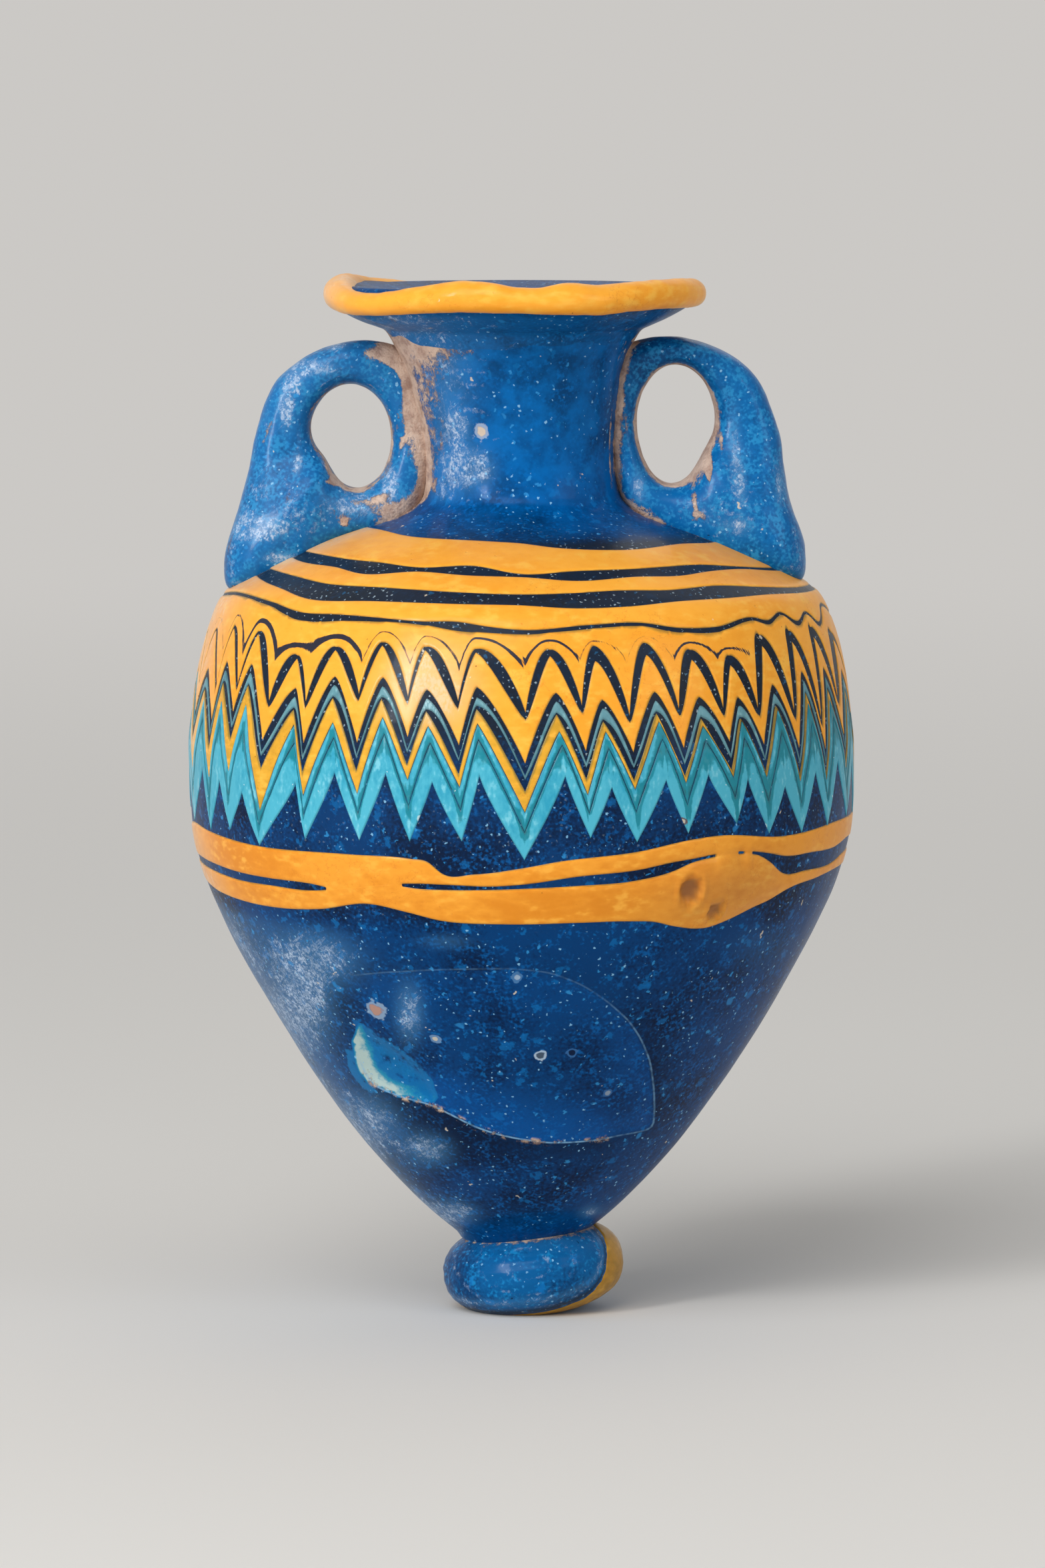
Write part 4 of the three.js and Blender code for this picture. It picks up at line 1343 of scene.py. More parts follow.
FRONT_STROKES = (
    Stroke((-80, -80), (61.0, 56.0, 53.0, 48.0), (-76, -72), (66.5, 62.8, 60.2, 53.5)),
    Stroke((-68, -68.5), (61.2, 55.6, 52.6, 47.7), (-66, -63.5), (67.1, 63.8, 60.2, 52.7)),
    Stroke((-59.3, -60), (61.6, 56.8, 53.7, 48.1), (-56, -55.3), (66.9, 63.9, 60.2, 51.9)),
    Stroke((-49, -51), (60.5, 54.5, 50.4, 47.0), (-43.5, -41.3), (65.0, 62.1, 58.8, 53.2)),
    Stroke((-40, -39.5), (60.7, 54.5, 52.2, 48.0), (-35, -33), (66.0, 63.4, 59.2, 54.5)),
    Stroke((-29, -28.3), (61.6, 54.9, 52.7, 48.3), (-25.5, -23.2), (66.6, 63.5, 59.9, 54.7)),
    Stroke((-19.7, -19), (61.5, 55.6, 54.2, 48.4), (-17.2, -15), (66.3, 62.5, 59.2, 54.0)),
    Stroke((-10.8, -10), (61.2, 54.9, 53.6, 48.5), (-8, -7), (66.2, 62.8, 59.5, 54.6)),
    Stroke((0.7, 0.5), (60.2, 53.3, 51.3, 46.8), (5, 7.3), (66.0, 62.3, 58.8, 54.6)),
    Stroke((10.3, 11.6), (60.8, 54.4, 52.9, 48.8), (13, 15.2), (65.9, 61.6, 58.7, 53.5)),
    Stroke((18.6, 19.7), (59.8, 54.2, 53.3, 48.3), (22.5, 24.9), (66.2, 62.2, 59.5, 54.0)),
    Stroke((27.8, 29.2), (60.3, 54.4, 53.7, 48.9), (31.3, 33), (65.5, 61.55, 58.9, 54.3)),
    Stroke((36.8, 39.2), (60.1, 54.7, 54.0, 49.5), (39.5, 41.5), (64.8, 61.3, 59.2, 53.6)),
    Stroke((44.8, 47), (59.9, 54.2, 53.7, 48.3), (48.3, 51), (66.4, 62.2, 59.9, 52.6)),
    Stroke((54.6, 56.3), (59.3, 53.5, 52.9, 48.0), (57.7, 60.7), (66.5, 63.1, 60.2, 53.6)),
    Stroke((63.8, 65.8), (58.3, 53.0, 52.6, 48.15), (66.7, 70), (66.6, 63.1, 60.2, 54.2)),
    Stroke((73, 76.5), (60.0, 54.0, 53.2, 48.6), (78.5, 81.5), (65.8, 62.5, 59.8, 54.0)),
)

# The first combed line at each front stroke: its width on the fall into the stroke, on the
# rise out of it and at the crest after it, and how strong the scalloped line over it is.
FRONT_WEIGHTS = (
    (0.3, 0.25, 0.15, 0.5), (0.3, 0.25, 0.15, 0.6), (0.45, 0.45, 0.15, 1), (1.0, 1.1, 0.2, 1),
    (0.5, 0.9, 0.2, 1), (0.7, 0.6, 0.2, 0.6), (0.7, 0.55, 0.2, 0.6), (0.85, 0.4, 0.2, 1),
    (0.95, 1.1, 0.5, 1), (0.9, 1.3, 1.3, 0.5), (1.0, 1.3, 1.0, 0.4), (0.85, 1.5, 0.8, 0.8),
    (1.1, 1.2, 0.8, 0.8), (1.1, 2.2, 0.9, 0), (1.3, 2.6, 0.9, 0), (1.4, 2.8, 0.8, 0),
    (1.4, 2.4, 0.6, 0),
)

# Plain lines at the front: angle, height and upright width.
PLAIN_LINES = (
    (
        (-90, 76.0, 0), (-60, 76.0, 0), (-40, 75.7, 0), (-10, 75.5, 0), (0, 75.35, 0),
        (10, 75.0, 0),
        (30, 74.7, 0), (55, 74.9, 0), (75, 74.7, 0), (90, 74.8, 0),
    ),
    (
        (-90, 73.6, 0.3), (-62, 73.4, 0.7), (-50, 73.3, 0.65), (-38, 73.05, 0.95),
        (-25, 73.1, 0.3), (-12, 73.1, 0.75), (1, 72.7, 0.2), (12, 72.65, 0.75), (27, 72.8, 0.6),
        (38, 72.8, 0.75), (48, 72.9, 0.55), (60, 72.7, 0.2), (75, 72.2, 0.2), (90, 71.8, 0.3),
    ),
    (
        (-90, 71.9, 0.4), (-71, 71.7, 0.8), (-58, 71.4, 1.0), (-45, 70.9, 1.3), (-30, 70.95, 1.1),
        (-12, 70.8, 0.9), (0, 70.7, 0.85), (10, 70.6, 1.2), (20, 70.7, 1.3), (32, 70.8, 0.9),
        (45, 70.9, 1.0), (58, 70.7, 0.6), (70, 70.4, 0.45), (90, 70.1, 0.4),
    ),
    (
        (-90, 69.3, 0.2), (-77, 69.9, 0.2), (-65, 69.9, 0.2), (-55, 69.5, 0.3), (-45, 68.7, 0.62),
        (-36, 68.8, 0.5), (-28, 68.8, 0.27), (-18, 68.6, 0.22), (-12, 68.4, 0.7), (-6, 68.1, 0.45),
        (0, 67.9, 0.28), (12, 68.3, 0.25), (22, 68.45, 0.2), (30, 67.8, 0.3), (38, 67.7, 0.35),
        (48, 68.4, 0.22), (52, 68.0, 0.26), (57, 68.65, 0.18), (62, 67.6, 0.3), (67, 68.4, 0.18),
        (72, 67.2, 0.27), (78, 68.6, 0.2), (90, 67.5, 0.25),
    ),
)
PLAIN_BACK = ((75.3, 0.0), (73.0, 0.5), (70.9, 0.9), (68.4, 0.45))


@dataclass
class LineBook:
    """Where the lines between the turns run, all round the body.

    The lines from the top are the upper edge, three plain lines, then the combed ones: c,
    the dark lines over and under the turquoise thread, e, f between the turquoise turns,
    and the lower edge g.
    """

    back_strokes: int = 20
    columns: int = 24
    seed: int = 12
    back_tips: tuple = (60.8, 54.7, 52.9, 48.3)
    back_crests: tuple = (66.1, 62.8, 59.6, 53.8)
    roundness: tuple = (1.6, 1.35, 1.2, 1.1, 1.1, 0.86)
    dark_band: tuple = (2.5, 1.9)
    teal_shares: tuple = (0.42, 0.3)
    thread_place: tuple = (0.5, 0.66, 0.66, 0.36)
    thread_width: tuple = (0.4, 1.15, 0.75)
    comb_steepness: float = 1.9
    finest_thread: float = 0.42
    first_tip_width: float = 0.5
    winding_start: float = 0.25

    def __post_init__(self) -> None:
        """Lists the strokes all round and the combed lines' tips and crests."""
        random = np.random.default_rng(self.seed)
        last, first = FRONT_STROKES[-1].tip_angles[1], FRONT_STROKES[0].tip_angles[0] + 360
        gap = (first - last) / (self.back_strokes + 1)
        back, weights = [], list(FRONT_WEIGHTS)
        for i in range(1, self.back_strokes + 1):
            angle = last + gap * (i + random.uniform(-0.14, 0.14))
            lean, place = random.uniform(-0.5, 1.5), gap * random.uniform(0.34, 0.46)
            tips = tuple(z + random.normal(0, 0.45) for z in self.back_tips)
            crests = tuple(z + random.normal(0, 0.35) for z in self.back_crests)
            crest = angle + place
            back.append(Stroke((angle, angle + lean), tips, (crest, crest + lean + 1), crests))
            weights.append(
                (*random.uniform(0.35, 0.8, 2), random.uniform(0.2, 0.7), random.choice((0, 0.6)))
            )
        self.strokes = [*FRONT_STROKES, *back]
        self.weights = np.array(weights)
        self.per_turn = len(self.strokes) * self.columns
        self.lead = self.back_strokes // 2 * self.columns
        self.jitter = random.normal(0, 1, (8, len(self.strokes)))
        share = np.arange(self.columns) / self.columns
        self.share = share
        self.up = share < 0.5
        self.level = np.where(self.up, 1 - 2 * share, 2 * share - 1)
        self.courses = np.stack([self.course(line) for line in range(10)])

    def _between(self, tip: Array, crest: Array, power: float = 1.0) -> Array:
        """Values by stroke and column, from those at the tips and the crests after them.

        Args:
            tip: values at the strokes' tips.
            crest: values at the crests after them.
            power: how sharply the line turns at its crests.

        Returns:
            A value for each stroke and column.
        """
        ahead = np.roll(tip, -1)
        ends = np.where(self.up, tip[:, None], ahead[:, None])
        return crest[:, None] + self.level**power * (ends - crest[:, None])

    def _angles(self, way: float) -> Array:
        """Angles by stroke and column, a share of the way from the comb's start to its end.

        Args:
            way: 0 at the comb's start, 1 at its end.

        Returns:
            The angles.
        """
        ends = np.array([s.tip_angles for s in self.strokes]) @ (1 - way, way)
        tops = np.array([s.crest_angles for s in self.strokes]) @ (1 - way, way)
        ahead = np.append(ends[1:], ends[0] + 360)
        near = np.where(self.up, ends[:, None], ahead[:, None])
        return tops[:, None] + self.level * (near - tops[:, None])

    def course(self, line: int) -> Array:
        """One line round the body, before it winds down.

        Args:
            line: its number from the top, from 0.

        Returns:
            Angle, height and upright width at each column of one turn from the first stroke.
        """
        combed = max(line, 4)
        tips = np.array([s.tips for s in self.strokes]).T
        crests = np.array([s.crests for s in self.strokes]).T
        power = self.roundness[combed - 4]
        width = np.zeros((len(self.strokes), self.columns))
        if combed == 4:
            height = self._between(tips[0], crests[0], power)
            width = self._first_width()
        elif combed in (5, 6):
            over = self._between(tips[1] + self.dark_band[0], crests[1], self.roundness[1])
            under = self._between(tips[1], crests[1] - self.dark_band[1], self.roundness[2])
            finest = self._between(tips[2], crests[2], self.roundness[3]) + self.finest_thread
            turn = wrapped(np.array([s.crest_angles[0] for s in self.strokes]))
            right = (eased(turn, 16, 30) * (1 - eased(turn, 95, 120)))[:, None]
            under += right * np.sin(np.pi * self.level) * np.minimum(finest - under, 0)
            middle, half = self._thread(over, under)
            edge = middle + half if combed == 5 else middle - half
            outer = over if combed == 5 else under
            height, width = (outer + edge) / 2, np.abs(outer - edge)
        else:
            low, high = (2, 3) if combed == 8 else (combed // 3, combed // 3)
            shares = self.teal_shares if combed == 8 else (0, 0)
            tip = tips[low] + shares[0] * (tips[high] - tips[low])
            crest = crests[low] + shares[1] * (crests[high] - crests[low])
            height = self._between(tip, crest, power)
        way = (0.0, 0.4, 0.4, 0.6, 0.8, 1.0)[combed - 4]
        out = np.stack([self._angles(way), height, width], axis=-1).reshape(-1, 3)
        return self._plain(line, out[:, 0]) if line < 4 else out

    def _first_width(self) -> Array:
        """The upright width of the first combed line, by stroke and column.

        Returns:
            The widths.
        """
        fall, rise, crest = self.weights[:, :3].T
        side = np.where(self.up, rise[:, None], np.roll(fall, -1)[:, None])
        slope = np.sin(np.pi * np.clip(self.level, 0, 1) ** 1.5) ** 0.7
        ends = self.level * self.first_tip_width + (1 - self.level) * crest[:, None]
        return ends * (1 - slope) + slope * side * self.comb_steepness

    def _thread(self, over: Array, under: Array) -> tuple[Array, Array]:
        """The middle and the half width of the turquoise thread between the dark lines.

        Args:
            over: heights of the dark band's upper edge.
            under: heights of its lower edge.

        Returns:
            Heights of the middle, and half widths.
        """
        slope = np.sin(np.pi * self.level)
        tip, crest, rise, fall = self.thread_place
        side = np.where(self.up, rise, fall)
        place = (self.level * tip + (1 - self.level) * crest) * (1 - slope) + side * slope
        place = place + 0.05 * self.jitter[5][:, None] * slope
        tip, crest, side = self.thread_width
        width = (self.level * tip + (1 - self.level) * crest) * (1 - slope) + side * slope
        width = width * (1 + 0.15 * self.jitter[6][:, None])
        return over - place * (over - under), np.minimum(width, (over - under) * 0.56) / 2

    def _plain(self, line: int, angle: Array) -> Array:
        """A plain line at the angles given.

        Args:
            line: its number from the top, from 0.
            angle: angles in degrees.

        Returns:
            Angle, height and width.
        """
        turn = wrapped(angle)
        rear_height, rear_width = PLAIN_BACK[line]
        stations = PLAIN_LINES[line]
        front = 1 - eased(np.abs(turn), 88, 125)
        wave = 0.25 * np.sin(np.radians(turn * 5 + 40 * line)) + 0.15 * np.sin(
            np.radians(turn * 11)
        )
        height = front * curve_through(stations, 1, turn) + (1 - front) * (rear_height + wave)
        width = front * curve_through(stations, 2, turn) + (1 - front) * rear_width * (1 + wave)
        return np.stack([angle, height, np.maximum(width, 0)], axis=-1)

    def wound(self, line: int, columns: Array) -> Array:
        """A line as it winds down. It keeps its own course over the front of each turn.

        Args:
            line: the number of the line at the front of the first turn.
            columns: columns from the first stroke at the left of the front. They start
                behind it and may run past one turn, and each turn takes the next line.

        Returns:
            Angle, height and width at each column.
        """
        turns = (columns + self.lead) / self.per_turn - 0.5
        front = np.round(turns)
        off = turns - front
        way = eased(np.abs(off), self.winding_start, 1 - self.winding_start)
        place = np.clip(line + front + np.sign(off) * way, 0, len(self.courses) - 1)
        low = np.minimum(np.floor(place), len(self.courses) - 2).astype(int)
        mix = (place - low)[:, None]
        turn, column = np.divmod(columns, self.per_turn)
        out = self.courses[low, column] * (1 - mix) + self.courses[low + 1, column] * mix
        out[:, 0] += 360 * turn
        return out

    def shares(self, columns: Array) -> tuple[Array, Array, Array]:
        """Which turn, which stroke and how near to its tip each column is.

        Args:
            columns: column numbers.

        Returns:
            Turn, stroke and nearness, which is 1 at the tip.
        """
        turn = (columns + self.lead) // self.per_turn
        stroke, step = np.divmod(columns % self.per_turn, self.columns)
        return turn, stroke, self.level[step]


@dataclass
class Trail:
    """A trail laid between two windings of the lines."""

    node: str
    slot: Slot
    line: int
    turns: float
    rows: int
    lift: float = 0.08
    thickness: float = 0.6
    edge: float = 0.3
    sunk: float = 0.03
    taper: int = 1

    def strip(self, book: LineBook, outline: Outline) -> Object:
        """The trail laid out flat, with its distances stored on it.

        Args:
            book: the lines.
            outline: the body's outline.

        Returns:
            The strip as an object.
        """
        columns = np.arange(int(self.turns * book.per_turn)) - book.lead
        top = book.wound(self.line, columns)
        foot = book.wound(self.line + 1, columns)
        upper = outline.along(top[:, 1] - top[:, 2] / 2)
        lower = outline.along(foot[:, 1] + foot[:, 2] / 2)
        lower = np.minimum(lower, upper - 0.05 / outline.length)
        started = np.clip((columns - columns[0] + 1) / self.taper, 0, 1)
        upper = lower + (upper - lower) * np.sqrt(started)
        v = (1 - np.cos(np.linspace(0, np.pi, self.rows + 1))) / 2
        angle = top[:, :1] + v * (foot[:, :1] - top[:, :1])
        along = upper[:, None] + v * (lower - upper)[:, None]
        # Distance from the nearer edge: upright distance, less on the steep sides.
        slope = np.gradient(foot[:, 1], np.maximum(np.radians(foot[:, 0] - foot[0, 0]), 1e-9) * 31)
        steep = 1 / np.sqrt(1 + np.clip(np.nan_to_num(slope), -2.5, 2.5) ** 2)
        up_mm = (upper[:, None] - along) * outline.length * steep[:, None]
        down_mm = (along - lower[:, None]) * outline.length * steep[:, None]
        rim = np.minimum(up_mm, down_mm)
        full = (upper - lower)[:, None] * outline.length * steep[:, None]
        reach = np.minimum(self.edge, full / 3)
        drop = 1 - np.clip(rim / np.maximum(reach, 1e-6), 0, 1)
        depth = -self.lift + (self.lift + self.sunk) * drop**2.2
        ends = np.minimum(columns - columns[0], columns[-1] - columns)[:, None] / 1.5
        depth = depth + (self.sunk + self.lift) * (1 - np.clip(ends, 0, 1)) ** 2
        fields = {
            "rim": self.fringe(rim, up_mm), "line": self.line_in(book, columns, along, outline)
        }
        if self.slot is Slot.TURQUOISE:
            fields = {"rim": rim, "line": self.teal(book, columns, up_mm, down_mm)}
        name = self.node.replace("_", "-")
        return laid_strip(name, (angle, along, depth), self.thickness, False, fields)

    def fringe(self, rim: Array, upper: Array) -> Array:
        """Distance from the edges that the dark glass bled into: both of them."""
        return rim

    def line_in(
        self, book: LineBook, columns: Array, along: Array, outline: Outline
    ) -> Array:
        """Strength of a dark line inside the trail: only the yellow zigzag has one."""
        return np.zeros_like(along)

    def teal(
        self, book: LineBook, columns: Array, upper: Array, lower: Array
    ) -> Array:
        """Strength of the teal line: only the broad turquoise trail has one."""
        return np.zeros_like(upper)


@dataclass
class ScallopedTrail(Trail):
    """The combed yellow trail, with a hair-thin scalloped line over its first zigzag."""

    over_crest: float = 1.1
    valley: float = 65.0
    thin: float = 0.1
    thick: float = 0.21
    bold: tuple = (-61.0, -33.0)
    level_at: float = -40.0

    def line_in(
        self, book: LineBook, columns: Array, along: Array, outline: Outline
    ) -> Array:
        """See Trail. The line hangs between the crests in scallops.

        Args:
            book: the lines.
            columns: column numbers.
            along: shares along the outline.
            outline: the body's outline.

        Returns:
            The strength at each place.
        """
        turn, stroke, toward = book.shares(columns)
        top = np.array([s.crests[0] for s in book.strokes])[stroke] + self.over_crest
        angle = wrapped(book.courses[4][columns % book.per_turn, 0])
        valley = self.valley + 0.2 * book.jitter[6][stroke] + 0.9 * bell(angle, self.level_at, 4)
        line = outline.along(top - (top - valley) * toward**2.2)
        gap = np.abs(along - line[:, None]) * outline.length
        low, high = self.bold
        bold = eased(angle, low - 4, low) * (1 - eased(angle, high, high + 5))
        half = (self.thin + (self.thick - self.thin) * bold) * (1 + 1.6 * toward**3)
        strength = np.clip(1.6 - gap / half[:, None], 0, 1) * book.weights[stroke, 3][:, None]
        return strength * (turn == 0)[:, None]


@dataclass
class BandedTrail(Trail):
    """The broad turquoise trail: a dark teal line runs where its two turns meet."""

    reach: float = 0.42
    pooled: float = 2.0

    def teal(
        self, book: LineBook, columns: Array, upper: Array, lower: Array
    ) -> Array:
        """See Trail. The line is the last of the first turn and the first of the next.

        Args:
            book: the lines.
            columns: column numbers.
            upper: distance from the upper edge.
            lower: distance from the lower edge.

        Returns:
            The strength at each place.
        """
        turn, stroke, toward = book.shares(columns)
        gap = np.where((turn == 0)[:, None], lower, upper)
        pooled = self.pooled * np.clip(0.8 + book.jitter[7][stroke], 0, 2)
        pool = 1 + pooled * bell(toward, 1.0, 0.13) + 2.2 * bell(toward, 0.0, 0.14)
        turned = wrapped(book.courses[7][columns % book.per_turn, 0])
        pool *= 1 + 0.8 * eased(turned, 8, 35) * (1 - eased(turned, 95, 120))
        return np.clip(1.0 - gap / (self.reach * pool)[:, None], 0, 1)


@dataclass
class ThinTrail(Trail):
    """The thin yellow thread, stained along its upper edge alone."""

    def fringe(self, rim: Array, upper: Array) -> Array:
        """See Trail."""
        return upper


TRAILS = (
    Trail("shoulder_trail", Slot.YELLOW, 0, 3.0, 12, taper=36),
    ScallopedTrail("zigzag_yellow_trail", Slot.YELLOW, 3, 2.0, 30),
    Trail("zigzag_turquoise_thread", Slot.TURQUOISE, 5, 1.0, 8, edge=0.15),
    ThinTrail("zigzag_yellow_thread", Slot.YELLOW, 6, 1.0, 10, edge=0.2),
    BandedTrail("zigzag_turquoise_trail", Slot.TURQUOISE, 7, 2.0, 18, edge=0.2),
)


@dataclass
class LowerTrail:
    """Two turns of yellow that run together at the front, swollen and pitted at the right."""

    upper: tuple = (
        (-90, 47.4), (-80, 47.9), (-70, 47.6), (-50, 47.0), (-30, 47.0), (-19, 46.85), (-16, 46.6),
        (-13.5, 45.5), (-8, 45.5), (0, 46.1), (6, 46.7), (20, 47.5), (30, 48.4), (35, 48.6),
        (50, 48.0), (70, 48.5), (90, 48.6),
    )
    slot: tuple = (
        (-90, 44.3, 0.5), (-70, 44.0, 0.7), (-60, 43.7, 0.7), (-50, 43.6, 0.6), (-39, 43.5, 0.5),
        (-35, 43.5, 0), (-30, 43.8, -0.2), (-22.8, 44.25, 0), (-18, 44.2, 0.38), (-12, 44.15, 0.38),
        (-5, 44.15, 0.22), (0, 44.3, 0.3), (10, 44.8, 0.8), (20, 45.2, 0.9), (27, 45.9, 0.75),
        (30, 46.3, 0.3), (35, 46.7, 0.15), (40, 46.8, 0.15), (45, 46.5, 0.25), (48, 46.0, 0.7),
        (52, 45.2, 1.5),
        (60, 45.1, 1.6), (70, 45.1, 1.5), (80, 45.7, 1.3), (90, 45.6, 1.0),
    )
    lower: tuple = (
        (-90, 42.2), (-80, 41.8), (-70, 41.4), (-38, 41.4), (-28, 42.2), (-20, 41.5), (-15, 40.9),
        (-3, 40.6), (10, 40.7), (20, 40.7), (25, 40.5), (28, 40.1), (37, 39.7), (40, 40.1),
        (47, 41.3), (50, 41.7), (55, 42.6), (65, 43.2), (80, 43.6), (90, 43.5),
    )
    behind: tuple = (47.7, 44.6, 0.7, 41.7)
    columns: int = 900
    rows: int = 16
    lift: float = 0.1
    thickness: float = 1.4
    bulge: tuple = (38.0, 43.4, 0.55, 13.0, 3.0)
    pits: tuple = ((30.5, 43.6, 1.3, 0.85), (36.5, 41.4, 1.0, 0.6))

    def _around(self, stations: tuple, column: int, rear: float, angle: Array) -> Array:
        """A value at the front's stations, eased into its value behind.

        Args:
            stations: rows of angle and values at the front.
            column: which value of a row.
            rear: the value behind.
            angle: angles in degrees.

        Returns:
            The value at each angle.
        """
        turn = wrapped(angle)
        front = 1 - eased(np.abs(turn), 90, 130)
        wave = 0.3 * np.sin(np.radians(3 * turn))
        return front * curve_through(stations, column, turn) + (1 - front) * (rear + wave)

    def strip(self, outline: Outline) -> Object:
        """The band laid out flat, with a groove between its turns.

        Args:
            outline: the body's outline.

        Returns:
            The band as an object.
        """
        angle = np.linspace(-180, 180, self.columns, endpoint=False)
        top_z, slot_z, slot_w, foot_z = self.behind
        upper = self._around(self.upper, 1, top_z, angle)
        middle = self._around(self.slot, 1, slot_z, angle)
        width = np.maximum(self._around(self.slot, 2, slot_w, angle), 0)
        lower = self._around(self.lower, 1, foot_z, angle)
        v = (1 - np.cos(np.linspace(0, np.pi, self.rows + 1))) / 2
        groove_top, groove_foot = middle + width / 2, middle - width / 2
        first = upper[:, None] + v * (groove_top - upper)[:, None]
        second = groove_foot[:, None] + v * (lower - groove_foot)[:, None]
        height = np.hstack([first, second])
        open_share = np.clip(width / 0.15, 0, 1)[:, None]
        outer = np.minimum(np.abs(height - upper[:, None]), np.abs(height - lower[:, None]))
        inner = np.minimum(
            np.abs(height - groove_top[:, None]), np.abs(height - groove_foot[:, None])
        )
        rim = np.minimum(outer, inner + (1 - open_share) * 9)
        drop = (1 - np.clip(rim / 0.3, 0, 1)) ** 2.2
        swell_angle, swell_z, swell, across, upright = self.bulge
        swollen = bell(angle, swell_angle, across)[:, None] * bell(height, swell_z, upright)
        raised = swell * swollen
        depth = -self.lift - raised * np.clip(rim / 1.2, 0, 1) + (self.lift + 0.04) * drop
        socket = np.zeros_like(height)
        for pit_angle, pit_z, radius, sunk in self.pits:
            across_mm = np.radians(angle - pit_angle)[:, None] * outline.belly_radius
            gap = np.hypot(across_mm, height - pit_z) / radius
            bowl = np.clip(1 - gap**2, 0, 1)
            depth = depth + sunk * np.sqrt(bowl) * (gap < 1) - 0.12 * bell(gap, 1.12, 0.2)
            socket = np.maximum(socket, eased(1.05 - gap, 0, 0.5))
        turn = np.broadcast_to(angle[:, None], height.shape)
        # Darker brown in the pits, and more faintly over the swell.
        fields = {"rim": rim, "socket": np.maximum(socket, 0.4 * swollen)}
        places = (turn, outline.along(height), depth)
        return laid_strip("lower-trail", places, self.thickness, True, fields)


# Pieces


@dataclass
class Maker:
    """What the sub-assemblies share: the trees, the finishes and the list of pieces."""

    forms: Forms
    outline: Outline
    materials: dict[str, Material]
    pieces: dict[str, Object] = field(default_factory=dict)

    def shape(
        self, holder: Object, tree: NodeTree, glass: str, ripple: tuple, **more: Any
    ) -> Object:
        """Forms an object with a tree, in one of the finishes, with a size, height and seed.

        Args:
            holder: the object whose mesh goes in.
            tree: the form's tree.
            glass: the finish's name.
            ripple: size, height and seed of the ripple.
            more: the tree's other inputs.

        Returns:
            The formed object.
        """
        size, height, seed = ripple
        values = {
            "Ripple Size": size, "Ripple Height": height, "Seed": seed,
            "Glass": self.materials[glass], **more,
        }
        return formed(holder, tree, values)

    def keep(self, piece: Object, node: str, slot: Slot) -> None:
        """Names a finished piece, puts it on its body and hides the solid that it stands for.

        Args:
            piece: the piece.
            node: the solid's name in the frame.
            slot: the record's slot for its material; not used.
        """
        piece.name = piece.data.name = node + "_glass"
        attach(piece, "root")
        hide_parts(node)
        self.pieces[node] = piece
        LOG.info("%s: %d faces, for %s", piece.name, len(piece.data.polygons), node)


BODY_RIPPLE = (11.0, 0.1, 4.0)


